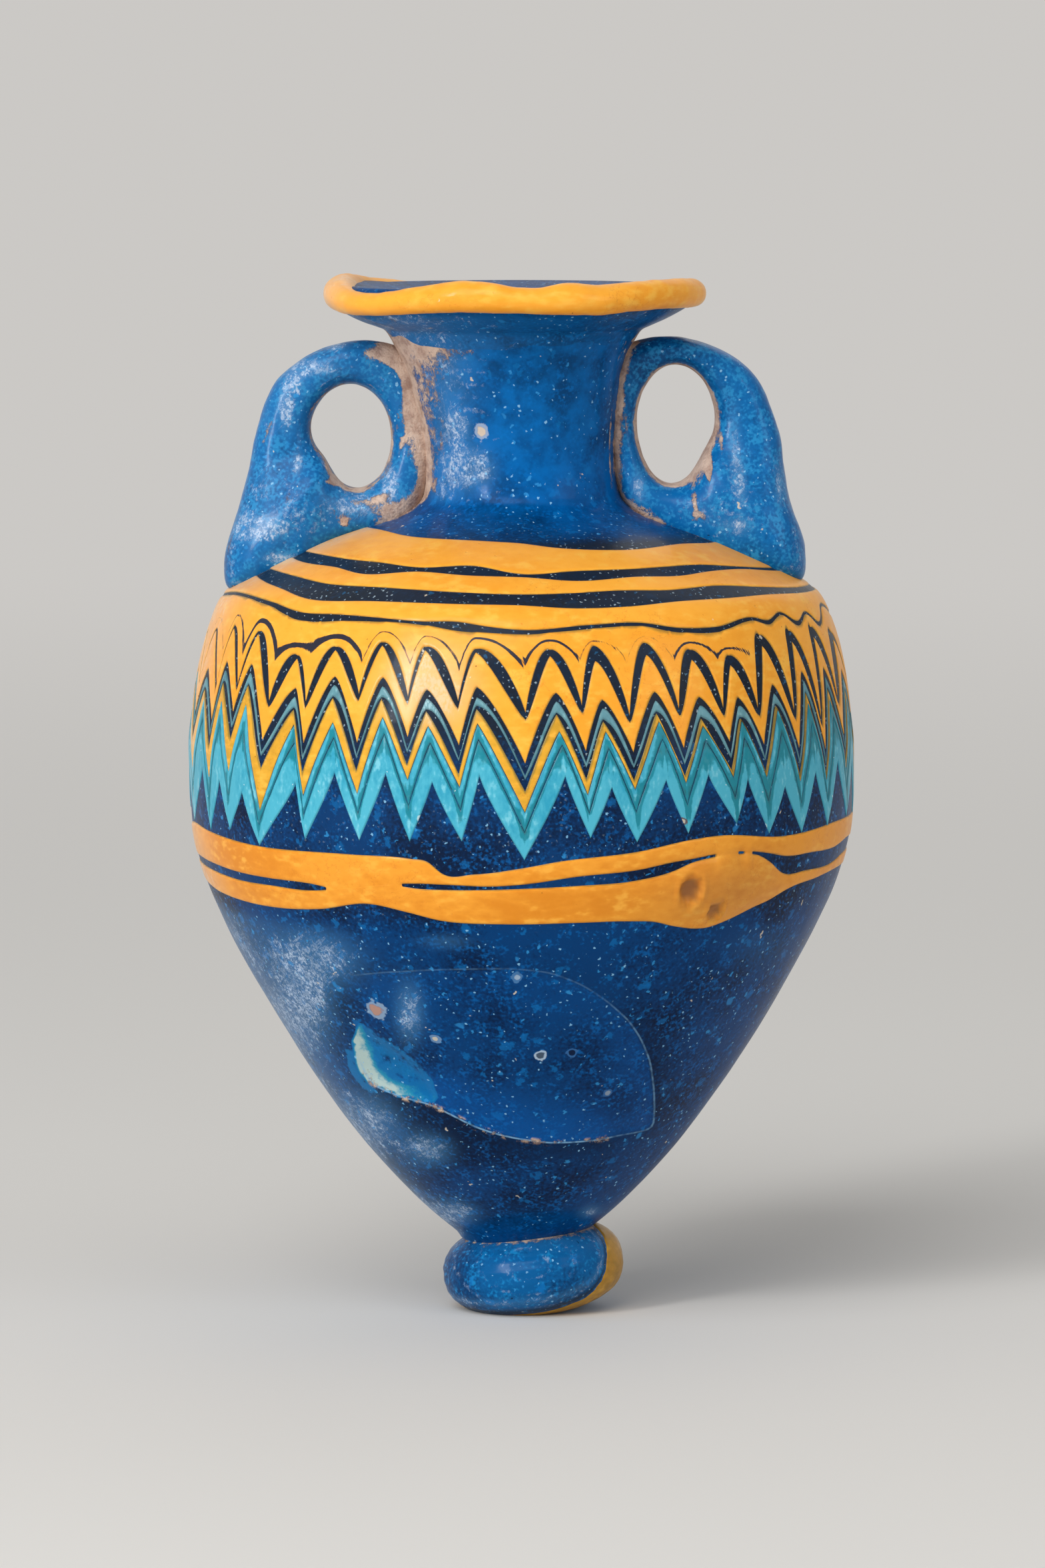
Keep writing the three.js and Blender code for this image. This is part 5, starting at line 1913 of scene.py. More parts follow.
@dataclass
class Vessel:
    """The ground glass of the body and neck, with its hollow."""

    sides: int = 400
    scar: tuple = (
        (-14.6, 23.8), (-11.7, 22.7), (-8.6, 22.1), (-6.6, 21.1), (-4.5, 20.0), (-2.2, 19.2),
        (0.1, 18.7), (2.7, 18.3), (5.1, 18.3), (7.4, 18.4), (9.2, 18.7), (12.6, 19.0),
        (12.7, 21.1), (12.6, 23.5), (12.2, 26.4), (11.3, 28.8), (10.1, 30.8), (8.0, 32.9),
        (5.7, 34.6), (2.7, 35.9), (-0.9, 36.3), (-7.5, 36.1), (-13.1, 35.5), (-17.8, 34.6),
        (-16.5, 29.0),
    )
    chip: tuple = (
        (-14.6, 23.8), (-15.6, 25.2), (-16.1, 28.3), (-15.5, 30.0), (-14.5, 29.7), (-12.9, 28.6),
        (-11.4, 27.7), (-9.9, 26.5), (-8.4, 24.6), (-7.8, 22.8), (-8.6, 22.1), (-11.7, 22.7),
    )
    # Milky smears on the front: across, height, two half sizes and amount. The one at (-4.4, 81.9),
    # on the neck's left, is a painted highlight.
    smears_and_glare: tuple = (
        (-10.5, 31.5, 1.5, 3.4, 0.85), (-8.8, 17.2, 2.6, 2.0, 0.75), (-19.0, 36.5, 4.5, 3.0, 0.7),
        (-14.0, 20.0, 3.0, 3.0, 0.6), (-7.0, 38.9, 3.0, 1.0, 0.45), (-20.5, 31.0, 3.0, 4.0, 0.6),
        (-4.4, 81.9, 1.9, 1.7, 0.95), (-5.6, 85.8, 0.9, 1.1, 0.7), (23.0, 37.0, 4.5, 3.0, 0.3),
        (-6.2, 10.4, 2.4, 1.6, 0.7), (6.6, 10.3, 1.3, 0.9, 0.8),
    )

    def profile(self, outline: Outline) -> Array:
        """Radii and heights of wall and hollow, from the axis under the foot to that inside.

        Args:
            outline: the body's outline.

        Returns:
            Radius and height, one row for each point.
        """
        zones = ((outline.seat, 39.0, 78), (39.0, 77.0, 62), (77.0, outline.neck_top, 56))
        outer = [
            outline.at(outline.along(np.linspace(low, high, count, endpoint=False)))
            for low, high, count in zones
        ]
        inner_top = outline.neck_root - 1.5
        shares = np.linspace(
            outline.along(inner_top), outline.along(outline.seat + outline.floor), 26
        )
        inner = outline.at(shares, outline.wall)
        inner = inner[inner[:, 0] > outline.bore]
        top = outline.at(np.array([1.0]))
        foot = np.array(
            [[0, outline.seat - 2.0], [4.5, outline.seat - 1.6], [5.9, outline.seat - 0.6]]
        )
        mouth = np.array(
            [[outline.bore, outline.neck_top], [outline.bore, 88.0], [outline.bore, inner[0, 1]]]
        )
        last = np.array([[0, inner[-1, 1]]])
        flat = np.vstack([foot, *outer, top, mouth, inner, last])
        return flat

    def _inside(self, points: Array, corners: tuple) -> Array:
        """Signed distance of front points from the edge of a patch, above 0 within it.

        Args:
            points: points on the body.
            corners: the patch's corners, as they are seen from the front.

        Returns:
            The distance for each point, and -9 behind.
        """
        closed = np.array([*corners, corners[0]])
        fine = np.linspace(0, len(corners), 160)
        ring = np.stack(
            [np.interp(fine, range(len(closed)), closed[:, k]) for k in (0, 1)], axis=-1
        )
        for _ in range(4):
            ring[:-1] = (
                np.roll(ring[:-1], 1, axis=0) + 2 * ring[:-1] + np.roll(ring[:-1], -1, axis=0)
            ) / 4
            ring[-1] = ring[0]
        flat = points[:, [0, 2]]
        gap = np.full(len(flat), 99.0)
        inside = np.zeros(len(flat), bool)
        for a, b in zip(ring[:-1], ring[1:]):
            way = b - a
            t = np.clip(((flat - a) @ way) / (way @ way), 0, 1)
            gap = np.minimum(gap, np.hypot(*(flat - a - t[:, None] * way).T))
            crosses = (a[1] > flat[:, 1]) != (b[1] > flat[:, 1])
            rise = way[1] if abs(way[1]) > 1e-9 else 1e-9
            inside ^= crosses & (flat[:, 0] < way[0] * (flat[:, 1] - a[1]) / rise + a[0])
        return np.where(points[:, 1] < 0, np.where(inside, gap, -gap), -9.0)

    def make(self, maker: Maker) -> None:
        """Builds the body, marks its zones and keeps it.

        Args:
            maker: the shared trees, finishes and list of pieces.
        """
        outline = maker.outline
        holder = outline_object("vessel-body", *self.profile(outline).T)
        piece = maker.shape(holder, maker.forms.turned, "body", BODY_RIPPLE, Sides=self.sides)
        points = points_of(piece)
        radius = np.hypot(points[:, 0], points[:, 1])
        outer = (radius > outline.radius(points[:, 2]) - 1.2) & (points[:, 2] > outline.seat)
        scar = np.where(outer, self._inside(points, self.scar), -9.0)
        chip = np.where(outer, self._inside(points, self.chip), -9.0)
        sunk = 0.12 * eased(scar, -0.1, 0.4) * (1 - eased(scar, 2, 7)) + 0.35 * eased(
            chip, -0.1, 1.2
        )
        turn = turn_of(points)
        for angle, height, reach, _ in LowerTrail.pits:
            gap = np.hypot(np.radians(turn - angle) * outline.belly_radius, points[:, 2] - height)
            sunk += 0.9 * outer * (1 - eased(gap, 0.75 * reach, 1.3 * reach))
        points[:, :2] *= (1 - sunk / np.maximum(radius, 1e-6))[:, None]
        move_points(piece, outline.lean(points))
        self.mark(piece.data, points, scar, chip)
        maker.keep(piece, "vessel_body", Slot.BLUE)

    def mark(self, mesh: Mesh, points: Array, scar: Array, chip: Array) -> None:
        """Stores where the glass looks dark, milky, streaked, chipped or scarred, with a painted
        highlight on the neck's left and painted shade towards the neck's right edge.

        Args:
            mesh: the mesh.
            points: points in millimetres, one row each.
            scar: distance inside the scar's edge.
            chip: distance inside the chip's edge.
        """
        turn = turn_of(points)
        x, y, z = points.T
        neck = eased(z, 77.5, 79.5)
        shade = (0.2 * eased(z, 39.5, 42.0) + 0.8 * eased(z, 52.0, 60.0)) * (
            1 - eased(z, 75.0, 76.2)
        )
        # The last term is painted shade: the neck darker towards its right-hand edge, away from the
        # light.
        shade += 0.15 * bell(z, 76.4, 0.8) + 0.3 * neck * bell(turn, 80, 14)
        milk = 0.62 * bell(turn, -80, 30) * (1 - eased(z, 39, 42)) + 0.12 * (1 - eased(z, 39, 41))
        # Milky film, and one painted highlight on the neck's left.
        for across, height, wide, tall, amount in self.smears_and_glare:
            milk += amount * bell(x, across, wide) * bell(z, height, tall) * (y < 0)
        milk += neck * (0.15 + 0.6 * bell(turn - 1.2 * (z - 86), -45, 21))
        milk += 0.4 * bell(turn, 150, 40) * (1 - eased(z, 38, 43)) + 0.2 * bell(z, 76.9, 1.1)
        inner = eased(chip, -0.05, 0.15)
        whiter = (1 - eased(scar, 0.3, 1.9)) * (1 - 0.65 * eased(x, -12.5, -9.0))
        white = (0.3 + 0.9 * whiter) * inner
        second = 0.32 * eased(chip, -0.95, -0.7) * (1 - eased(x, -14.6, -13.4)) * (
            1 - inner
        ) * (z < 27)
        brink = 0.2 + 0.75 * (1 - eased(x, 7, 10)) * (1 - eased(z, 24.5, 26.5)) + 0.35 * eased(
            x, 7, 12
        )
        streak = 0.55 * neck * (0.5 + 0.5 * np.sin(z * 5.0 + turn * 0.09)) * bell(turn, -30, 26)
        streak += 0.3 * bell(z, 77.4, 0.6) * (0.5 + 0.5 * np.sin(z * 9.0))
        lit = 0.85 * eased(z, 76.5, 80.0) + 0.4 * bell(z, 76.5, 1.2) + 0.25 * (
            1 - eased(z, 9.0, 13.0)
        )
        store(mesh, "shade", np.clip(shade, 0, 1))
        store(mesh, "milk", np.clip(milk, 0, 1))
        store(mesh, "scar", np.clip(scar, -9, 9))
        store(mesh, "brink", brink * eased(x, -16.4, -14.6))
        store(mesh, "chip", white + second)
        store(mesh, "streak", streak)
        store(mesh, "lit", np.clip(lit, 0, 1))


@dataclass
class CombedTrails:
    """All the trails on the body, laid between the lines and wrapped on its skin."""

    book: LineBook = field(default_factory=LineBook)
    lower: LowerTrail = field(default_factory=LowerTrail)
    threads: dict = field(
        default_factory=lambda: {
            "zigzag_yellow_thread": "thread", "zigzag_turquoise_thread": "turquoise_thread",
        }
    )

    def make(self, maker: Maker) -> None:
        """Builds and keeps the six trails.

        Args:
            maker: the shared trees, finishes and list of pieces.
        """
        outline = maker.outline
        guide = outline_object("outline-guide", *outline.points.T)
        for trail in TRAILS:
            strip = trail.strip(self.book, outline)
            glass = self.threads.get(trail.node, trail.slot.value)
            piece = maker.shape(strip, maker.forms.laid, glass, BODY_RIPPLE, Outline=guide)
            self._weather(piece)
            maker.keep(piece, trail.node, trail.slot)
        strip = self.lower.strip(outline)
        piece = maker.shape(strip, maker.forms.laid, "lower_trail", BODY_RIPPLE, Outline=guide)
        self._weather(piece)
        maker.keep(piece, "lower_trail", Slot.YELLOW)
        bpy.data.objects.remove(guide)

    def _weather(self, piece: Object) -> None:
        """Stores the haze, heaviest far round to the left and by the handles, with a highlight
        painted as haze at the front left of the zigzag.

        Args:
            piece: one of the trails.
        """
        points = points_of(piece)
        turn = turn_of(points)
        # The second term is a painted highlight at the front left of the zigzag band.
        milk = 0.8 * bell(turn, -88, 22) + 0.85 * bell(turn, -16, 10) * bell(
            points[:, 2], 62.5, 4.5
        )
        milk += 0.7 * bell(turn, -90, 24) * eased(points[:, 2], 70, 75)
        milk += 0.1 + 0.4 * bell(turn, 160, 40)
        store(piece.data, "milk", np.clip(milk, 0, 1))


@dataclass
class Rim:
    """The rim disc and the yellow trail rolled round its edge."""

    sides: int = 280
    underside_rise: float = 2.6
    edge: float = 2.2
    roll_radius: float = 17.05
    heights: tuple = (
        (-180, -0.95), (-150, -0.75), (-125, -0.2), (-105, 0.1), (-90, 0), (-70, -0.5),
        (-58, -0.75),
        (-50, -0.68), (-31, -0.16), (-16, 0.21), (-8, 0.14), (2, -0.13), (10, -0.12), (16, 0.04),
        (28, -0.15), (43, 0.15), (61, 0.25), (80, 0.12), (100, 0.0), (125, -0.5), (150, -0.95),
        (180, -0.95),
    )
    halves: tuple = (
        (-180, 1.3), (-120, 1.5), (-95, 1.75), (-80, 1.5), (-58, 1.12), (-31, 1.27), (-16, 1.5),
        (-8, 1.45), (2, 1.2), (10, 1.28), (16, 1.5), (28, 1.43), (43, 1.42), (61, 1.4), (90, 1.35),
        (130, 1.25), (180, 1.3),
    )

    def make(self, maker: Maker) -> None:
        """Builds and keeps both pieces.

        Args:
            maker: the shared trees, finishes and list of pieces.
        """
        outline = maker.outline
        top = outline.neck_top
        edge_top = self.underside_rise + self.edge
        under = ((12.3, 0.2), (13.2, 0.65), (14.5, 1.2), (15.7, 1.8), (16.6, 2.35), (17.0, 2.9))
        over = ((16.85, 4.2), (16.2, edge_top), (14.5, 4.55), (11.5, 3.9), (8.6, 3.45), (6.4, 3.1))
        collar = [
            tuple(outline.at(outline.along(top - down), depth) - (0, top))
            for down, depth in ((3.0, 0.7), (2.2, 0.3), (1.5, 0.08), (0.8, -0.02))
        ]
        bore = ((5.5, 2.7), (5.15, 2.0), (5.15, 0.0), (5.15, -2.6))
        knots = np.array([(5.15, -2.7), *collar, *under, *over, *bore], float)
        t = np.arange(len(knots))
        fine = np.linspace(0, len(knots) - 1, 150)
        flat = np.stack(
            [curve_through(np.stack([t, knots[:, k]], -1), 1, fine) for k in (0, 1)], -1
        )
        closed = np.vstack([flat, flat[:1]])
        holder = outline_object("rim-disc", closed[:, 0], closed[:, 1] + top)
        piece = maker.shape(holder, maker.forms.turned, "rim", (7.0, 0.08, 6.0), Sides=self.sides)
        points = points_of(piece)
        turn = turn_of(points)
        radius = np.hypot(points[:, 0], points[:, 1])
        warp = curve_through(self.heights, 1, turn)
        points[:, 2] += np.maximum(warp, -0.3) * eased(radius, 11.5, 16.5)
        move_points(piece, outline.lean(points))
        underneath = 1 - eased(points[:, 2], top + 1.5, top + 3.2)
        milk = 0.15 + (0.2 + 0.4 * bell(turn, -55, 45)) * underneath
        crust = 0.15 + underneath * (0.2 + 0.3 * bell(turn, -75, 40) + 0.15 * bell(turn, 80, 30))
        store(piece.data, "milk", milk)
        store(piece.data, "shade", 0.3 * (1 - underneath))
        store(piece.data, "lit", 0.5 * underneath)
        store(piece.data, "region", crust)
        maker.keep(piece, "rim_disc", Slot.BLUE)
        self.roll(maker, top)

    def roll(self, maker: Maker, top: float) -> None:
        """Builds and keeps the rolled trail.

        Args:
            maker: the shared trees, finishes and list of pieces.
            top: the height of the neck's top.
        """
        angle = np.linspace(-180, 180, 360, endpoint=False)
        height = top + self.underside_rise + self.edge / 2 + curve_through(self.heights, 1, angle)
        out = self.roll_radius - 0.5 * bell(angle, -90, 32)
        out += 0.12 * np.sin(np.radians(angle * 3 + 30)) * np.cos(np.radians(angle * 2))
        path = on_circle(angle, out, height)
        holder = row_object("rim-trail", path, closed=True)
        store(holder.data, "thick", curve_through(self.halves, 1, angle))
        piece = maker.shape(
            holder, maker.forms.rolled, "yellow_glass", (3.2, 0.09, 8.0), Sides=40, Oval=1.04
        )
        points = points_of(piece)
        move_points(piece, maker.outline.lean(points))
        turn = turn_of(points)
        store(piece.data, "milk", np.clip(0.15 + 0.7 * bell(turn, -85, 20), 0, 1))
        store(piece.data, "rim", np.full(len(points), 9.0))
        maker.keep(piece, "rim_trail", Slot.YELLOW)


@dataclass
class Handle:
    """A rod bent into a closed ring, pressed to the neck and spread on the shoulder."""

    side: Side
    hole_half_width: float
    hole_half_height: float
    hole_rise: float
    inner_limb: float
    outer_limb: float
    pad_reach: float
    egg: float
    pinch: float
    arch: tuple[float, float, float, float]
    depth: float = 5.4
    bite: float = 1.2
    lining: float = 0.5
    steps: int = 280
    ring: int = 132
    ridges: int = 19
    ridge_height: float = 0.035
    # Strength of the pale streaks along the arch's ridges: partly film, partly painted sheen,
    # stronger on the left, towards the light.
    streaks: float = 0.6
    stain: float = 0.3
    bloom: float = 0.38
    waist: float = 0.55
    seed: float = 1.0
    marks: tuple = ()

    def _marked(self, sections: Array, column: int) -> Array:
        """Bloom, partly painted highlight, or crust on the front, from marks of place, half sizes,
        bloom and crust.

        Args:
            sections: points of the ring, by section and place.
            column: 4 for bloom and painted highlight, 5 for crust.

        Returns:
            The strength at each point.
        """
        x, y, z = np.moveaxis(sections, -1, 0)
        found = np.zeros_like(x)
        for mark in self.marks:
            across, height, wide, tall = mark[:4]
            found += mark[column] * bell(x, across, wide) * bell(z, height, tall) * (y < 0.5)
        return found

    def _hole(self, angle: Array) -> Array:
        """Distance from the middle of the hole to its edge, in a direction in degrees.

        Args:
            angle: angles in degrees.

        Returns:
            The distances.
        """
        a = np.radians(angle)
        oval = 1 / np.hypot(np.cos(a) / self.hole_half_width, np.sin(a) / self.hole_half_height)
        pinched = np.maximum(0, np.cos(a + math.pi / 4)) ** 4
        return oval * (1 + self.egg * np.sin(a) - self.pinch * pinched)

    def _edge(self, direction: float, distance: float) -> Array:
        """The ring's outer edge: out, up and half depth, closed, by even steps.

        Args:
            direction: from the hole's middle to the landing on the shoulder, in degrees.
            distance: how far off the landing is.

        Returns:
            One row for each step.
        """
        bite = self.inner_limb + self.bite
        widths = [share * self.outer_limb for share in self.arch]
        widths += [bite, bite, bite + self.bite, self.outer_limb]
        angles = np.array([0, 40, 88, 125, 160, 200, 235, 275], float)
        depths = np.array([1, 0.95, 0.95, 0.95, 1, 1.1, 1.3, 1.5])
        reach = self._hole(angles) + widths
        turns = np.array([-13, 0, 8, 19, 33], float)
        pad_shares = np.array([0.86, 1, 0.89, 0.68, self.waist])
        pad_depths = np.array([1.9, 2, 1.8, 1.45, 1.15])
        angles = np.concatenate([angles, 360 + direction + turns])
        reach = np.concatenate([reach, distance * pad_shares])
        depths = np.concatenate([depths, pad_depths]) * self.depth / 2
        a = np.radians(angles)
        knots = np.stack([reach * np.cos(a), reach * np.sin(a), depths], axis=-1)
        return closed_spline(knots, self.steps)

    def make(self, maker: Maker) -> None:
        """Builds and keeps the handle.

        Args:
            maker: the shared trees, finishes and list of pieces.
        """
        outline = maker.outline
        side = self.side.value
        out = outline.neck_radius + self.inner_limb + self.hole_half_width
        up = outline.neck_root + self.hole_rise
        pad = self.pad_reach * outline.belly_radius
        heights = np.linspace(outline.belly, outline.neck_root, 400)
        landing = float(np.interp(-pad, -outline.radius(heights), heights))
        direction = math.degrees(math.atan2(landing - up, pad - out))
        edge = self._edge(direction, math.hypot(landing - up, pad - out))
        reach = np.hypot(edge[:, 0], edge[:, 1])
        way = np.degrees(np.arctan2(edge[:, 1], edge[:, 0]))
        hole = self._hole(way)
        turn = np.linspace(0, TURN, self.ring, endpoint=False)
        cos, sin = np.cos(turn), np.sin(turn)
        low = bell(wrapped(way - direction), 0, 42)
        full = (0.88 - 0.22 * low)[:, None]
        cos_full = np.sign(cos) * np.abs(cos) ** full
        sin_full = np.sign(sin) * np.abs(sin) ** full
        on_arch = bell(wrapped(way - 80), 0, 60)[:, None]
        drift = turn + 0.12 * np.sin(np.radians(2 * way))[:, None]
        lines = (0.5 + 0.5 * np.cos(self.ridges * drift)) * (
            0.5 + 0.5 * np.sin(3 * drift + self.seed)
        )
        along = np.radians(way)[:, None]
        lines *= 0.25 + 0.75 * np.sin(3.2 * along + 8 * drift + self.seed) ** 2
        ridge = self.ridge_height * on_arch * lines
        middle, half = (hole + reach) / 2, (reach - hole) / 2
        distance = middle[:, None] + (half[:, None] + ridge) * cos_full
        deep = (edge[:, 2:] + ridge) * sin_full
        a = np.radians(way)[:, None]
        sections = np.stack(
            [side * (out + distance * np.cos(a)), deep, up + distance * np.sin(a)], axis=-1
        )
        inside = np.broadcast_to(eased(-cos, 0.55, 1.0), distance.shape)
        by_neck = bell(wrapped(way - 180), 0, 40)[:, None]
        folds = 0.5 + 0.5 * np.cos(6 * drift + 2 * np.sin(np.radians(way))[:, None])
        fields = {
            "region": self.lining * inside + self.stain * (
                0.7 + folds * np.sin(2.3 * along + 5 * drift) ** 2
            )
            + 0.22 * by_neck + self._marked(sections, 5),
            # Milky film, with the painted highlights from the marks' bloom column.
            "milk": self.bloom + 0.15 * on_arch * np.clip(cos, 0, 1) + self._marked(sections, 4),
            # Streaks along the ridges, partly painted sheen, and along the folds.
            "streak": self.streaks * on_arch * lines + 0.5 * folds * (0.35 + 0.65 * low[:, None]),
        }
        name = f"handle-{self.side.name.lower()}"
        holder = skin_object(name, sections, True, fields)
        piece = maker.shape(holder, maker.forms.pressed, "handle", (3.4, 0.07, self.seed))
        maker.keep(piece, f"handle_{self.side.name.lower()}", Slot.BLUE)


def closed_spline(knots: Array, count: int) -> Array:
    """A closed smooth line through knots, spaced by the root of their distances.

    Args:
        knots: the points, one row each.
        count: how many points to return.

    Returns:
        Points along the line.
    """
    size = len(knots)
    t = np.arange(count) / count * size
    i = t.astype(int)
    share = t - i
    p0, p1, p2, p3 = (knots[(i + k) % size] for k in (-1, 0, 1, 2))
    d0, d1, d2 = (
        np.sqrt(np.linalg.norm(b - a, axis=1))[:, None] for a, b in ((p0, p1), (p1, p2), (p2, p3))
    )
    m1 = ((p1 - p0) / d0 - (p2 - p0) / (d0 + d1) + (p2 - p1) / d1) * d1
    m2 = ((p2 - p1) / d1 - (p3 - p1) / (d1 + d2) + (p3 - p2) / d2) * d1
    s = share[:, None]
    return (
        (2 * s**3 - 3 * s**2 + 1) * p1
        + (s**3 - 2 * s**2 + s) * m1
        + (3 * s**2 - 2 * s**3) * p2
        + (s**3 - s**2) * m2
    )


KNOB_RIPPLE = (3.0, 0.1, 3.0)


@dataclass
class KnobFoot:
    """The flattened ball, set on askew, with a slanting trail round it."""

    radius: float = 8.7
    half_height: float = 4.5
    fullness: float = 0.82
    sides: int = 220
    offset: float = 1.1
    tilt: float = 6.5
    foot_radius: float = 5.0
    trail: tuple = (
        (-180, 2.3, 0.9), (-135, 0.2, -1.0), (-90, -2.7, -3.4), (-45, -3.4, -3.95),
        (0, -3.55, -4.1),
        (10, -3.5, -4.1), (28, -3.0, -4.1), (44, -2.0, -4.0), (53, -0.4, -3.8), (60, 1.7, -3.6),
        (72, 3.2, -3.3), (90, 3.7, -2.7), (120, 3.4, -1.0), (150, 2.8, 0.4), (180, 2.3, 0.9),
    )
    lift: float = 0.08
    thickness: float = 0.6
    columns: int = 320
    rows: int = 14

    def _place(self, turn: Array) -> Array:
        """Radius and height on the upright ball's outline at a turn from its foot.

        Args:
            turn: from -90 to 90 degrees, in radians.

        Returns:
            One row for each turn.
        """
        out = np.clip(np.cos(turn), 0, 1) ** self.fullness
        up = np.sign(turn) * np.abs(np.sin(turn)) ** self.fullness
        return np.stack([self.radius * out, self.half_height * up], axis=-1)

    def _askew(self, points: Array) -> Array:
        """Points tilted and set on the ground, with the foot pressed flat.

        Args:
            points: points in millimetres, one row each.

        Returns:
            The moved points.
        """
        share = (self.foot_radius / self.radius) ** (1 / self.fullness)
        centre = self.half_height * math.sqrt(1 - share**2) ** self.fullness
        a = -math.radians(self.tilt)
        x = points[:, 0] * math.cos(a) + points[:, 2] * math.sin(a) + self.offset
        z = -points[:, 0] * math.sin(a) + points[:, 2] * math.cos(a) + centre
        return np.stack([x, points[:, 1], np.maximum(z, 0.0)], axis=-1)

    def make(self, maker: Maker) -> None:
        """Builds and keeps the knob and its trail.

        Args:
            maker: the shared trees, finishes and list of pieces.
        """
        turn = np.linspace(-math.pi / 2, math.pi / 2, 110)
        flat = self._place(turn)
        threads = 0.02 * np.sin(np.linspace(0, 34 * math.pi, 110)) * np.cos(turn)
        flat[:, 0] = np.maximum(flat[:, 0] + threads, 0)
        holder = outline_object("base-knob", *flat.T)
        piece = maker.shape(holder, maker.forms.turned, "knob", KNOB_RIPPLE, Sides=self.sides)
        ball = points_of(piece)
        move_points(piece, self._askew(ball))
        points = points_of(piece)
        side = turn_of(ball)
        beside = 0.6 * (ball[:, 2] - curve_through(self.trail, 1, side))
        # Pale film rings round the knob's front, with a painted highlight at their middle.
        upper = eased(points[:, 2], 5.6, 7.8)
        from_highlight = np.hypot(0.62 * (points[:, 0] - 0.5), points[:, 2] - 5.4)
        store(piece.data, "milk", 0.25 + 0.25 * upper + 0.45 * bell(beside, 0.8, 0.35))
        store(piece.data, "shade", 0.9 * bell(beside, 0.15, 0.2))
        store(
            piece.data, "streak",
            0.5 * (0.5 + 0.5 * np.cos(from_highlight * 4.2 + 0.5)) ** 3 * (points[:, 1] < 0)
        )
        store(piece.data, "region", 0.3 * upper)
        maker.keep(piece, "base_knob", Slot.BLUE)
        self.wind(maker)

    def wind(self, maker: Maker) -> None:
        """Builds and keeps the slanting trail: broad at the right, thin at the left.

        Args:
            maker: the shared trees, finishes and list of pieces.
        """
        turn = np.linspace(-math.pi / 2, math.pi / 2, 400)
        ball = self._place(turn)
        lengths = np.concatenate([[0], np.cumsum(np.hypot(*np.diff(ball, axis=0).T))])
        guide = outline_object("knob-guide", *ball.T)
        angle = np.linspace(-180, 180, self.columns, endpoint=False)
        top, foot = (
            np.interp(curve_through(self.trail, k, angle), ball[:, 1], lengths) for k in (1, 2)
        )
        centre, half = (top + foot) / 2, (top - foot) / 2
        v = np.linspace(-1, 1, self.rows + 1)
        along = (centre[:, None] + half[:, None] * v) / lengths[-1]
        rim = half[:, None] * (1 - np.abs(v)) * 0.6
        depth = -self.lift + (self.lift + 0.2) * (1 - np.clip(rim / 0.4, 0, 1)) ** 2
        places = (np.broadcast_to(angle[:, None], along.shape), along, depth)
        holder = laid_strip("knob-trail", places, self.thickness, True, {"rim": rim})
        piece = maker.shape(holder, maker.forms.laid, "foot_trail", KNOB_RIPPLE, Outline=guide)
        move_points(piece, self._askew(points_of(piece)))
        bpy.data.objects.remove(guide)
        store(piece.data, "milk", np.full(len(piece.data.vertices), 0.25))
        maker.keep(piece, "knob_trail", Slot.YELLOW)


def crust_near_joins(pieces: dict[str, Object], reach: float = 1.7) -> None:
    """Stores on each blue piece how near it is to the others, with its own crusted regions.

    Args:
        pieces: the pieces by the node that each stands for.
        reach: how far the crust spreads from a join.
    """
    names = ["vessel_body", "handle_left", "handle_right", "rim_disc", "base_knob"]
    trees = {n: BVHTree.FromObject(pieces[n], bpy.context.evaluated_depsgraph_get()) for n in names}
    for name in names:
        mesh = pieces[name].data
        near = np.zeros(len(mesh.vertices))
        others = [trees[n] for n in names if n != name]
        if name in ("rim_disc", "vessel_body"):
            others = [trees["handle_left"], trees["handle_right"]]
        for i, vertex in enumerate(mesh.vertices):
            gaps = [tree.find_nearest(vertex.co, reach * MM)[3] for tree in others]
            found = [gap for gap in gaps if gap is not None]
            if found:
                near[i] = 1 - min(found) / (reach * MM)
        region = np.zeros(len(near), np.float32)
        if "region" in mesh.attributes:
            mesh.attributes["region"].data.foreach_get("value", region)
        if name == "vessel_body":
            points = points_of(pieces[name])
            turn = turn_of(points)
            z = points[:, 2]
            region += 0.85 * bell(turn, -74, 33 + 3.5 * np.clip(z - 84, 0, 11)) * eased(z, 77.5, 80)
            region += 0.35 * bell(z, 94.5, 2.0) * (0.4 + 0.6 * bell(turn, -40, 50))
            region += 0.6 * bell(turn, 66, 3.0) * eased(z, 78, 80)
            region += 0.45 * bell(z, 8.6, 0.9) * (0.5 + 0.5 * np.sin(np.radians(2.3 * turn + 200)))
            near *= 0.8
        if name == "base_knob":
            near *= 0.6
        if name.startswith("handle"):
            x = points_of(pieces[name])[:, 0]
            near *= 0.3 + 0.6 * (1 - eased(np.abs(x), 12.5, 16.0))
        store(mesh, "near", np.clip(near + region, 0, 1))


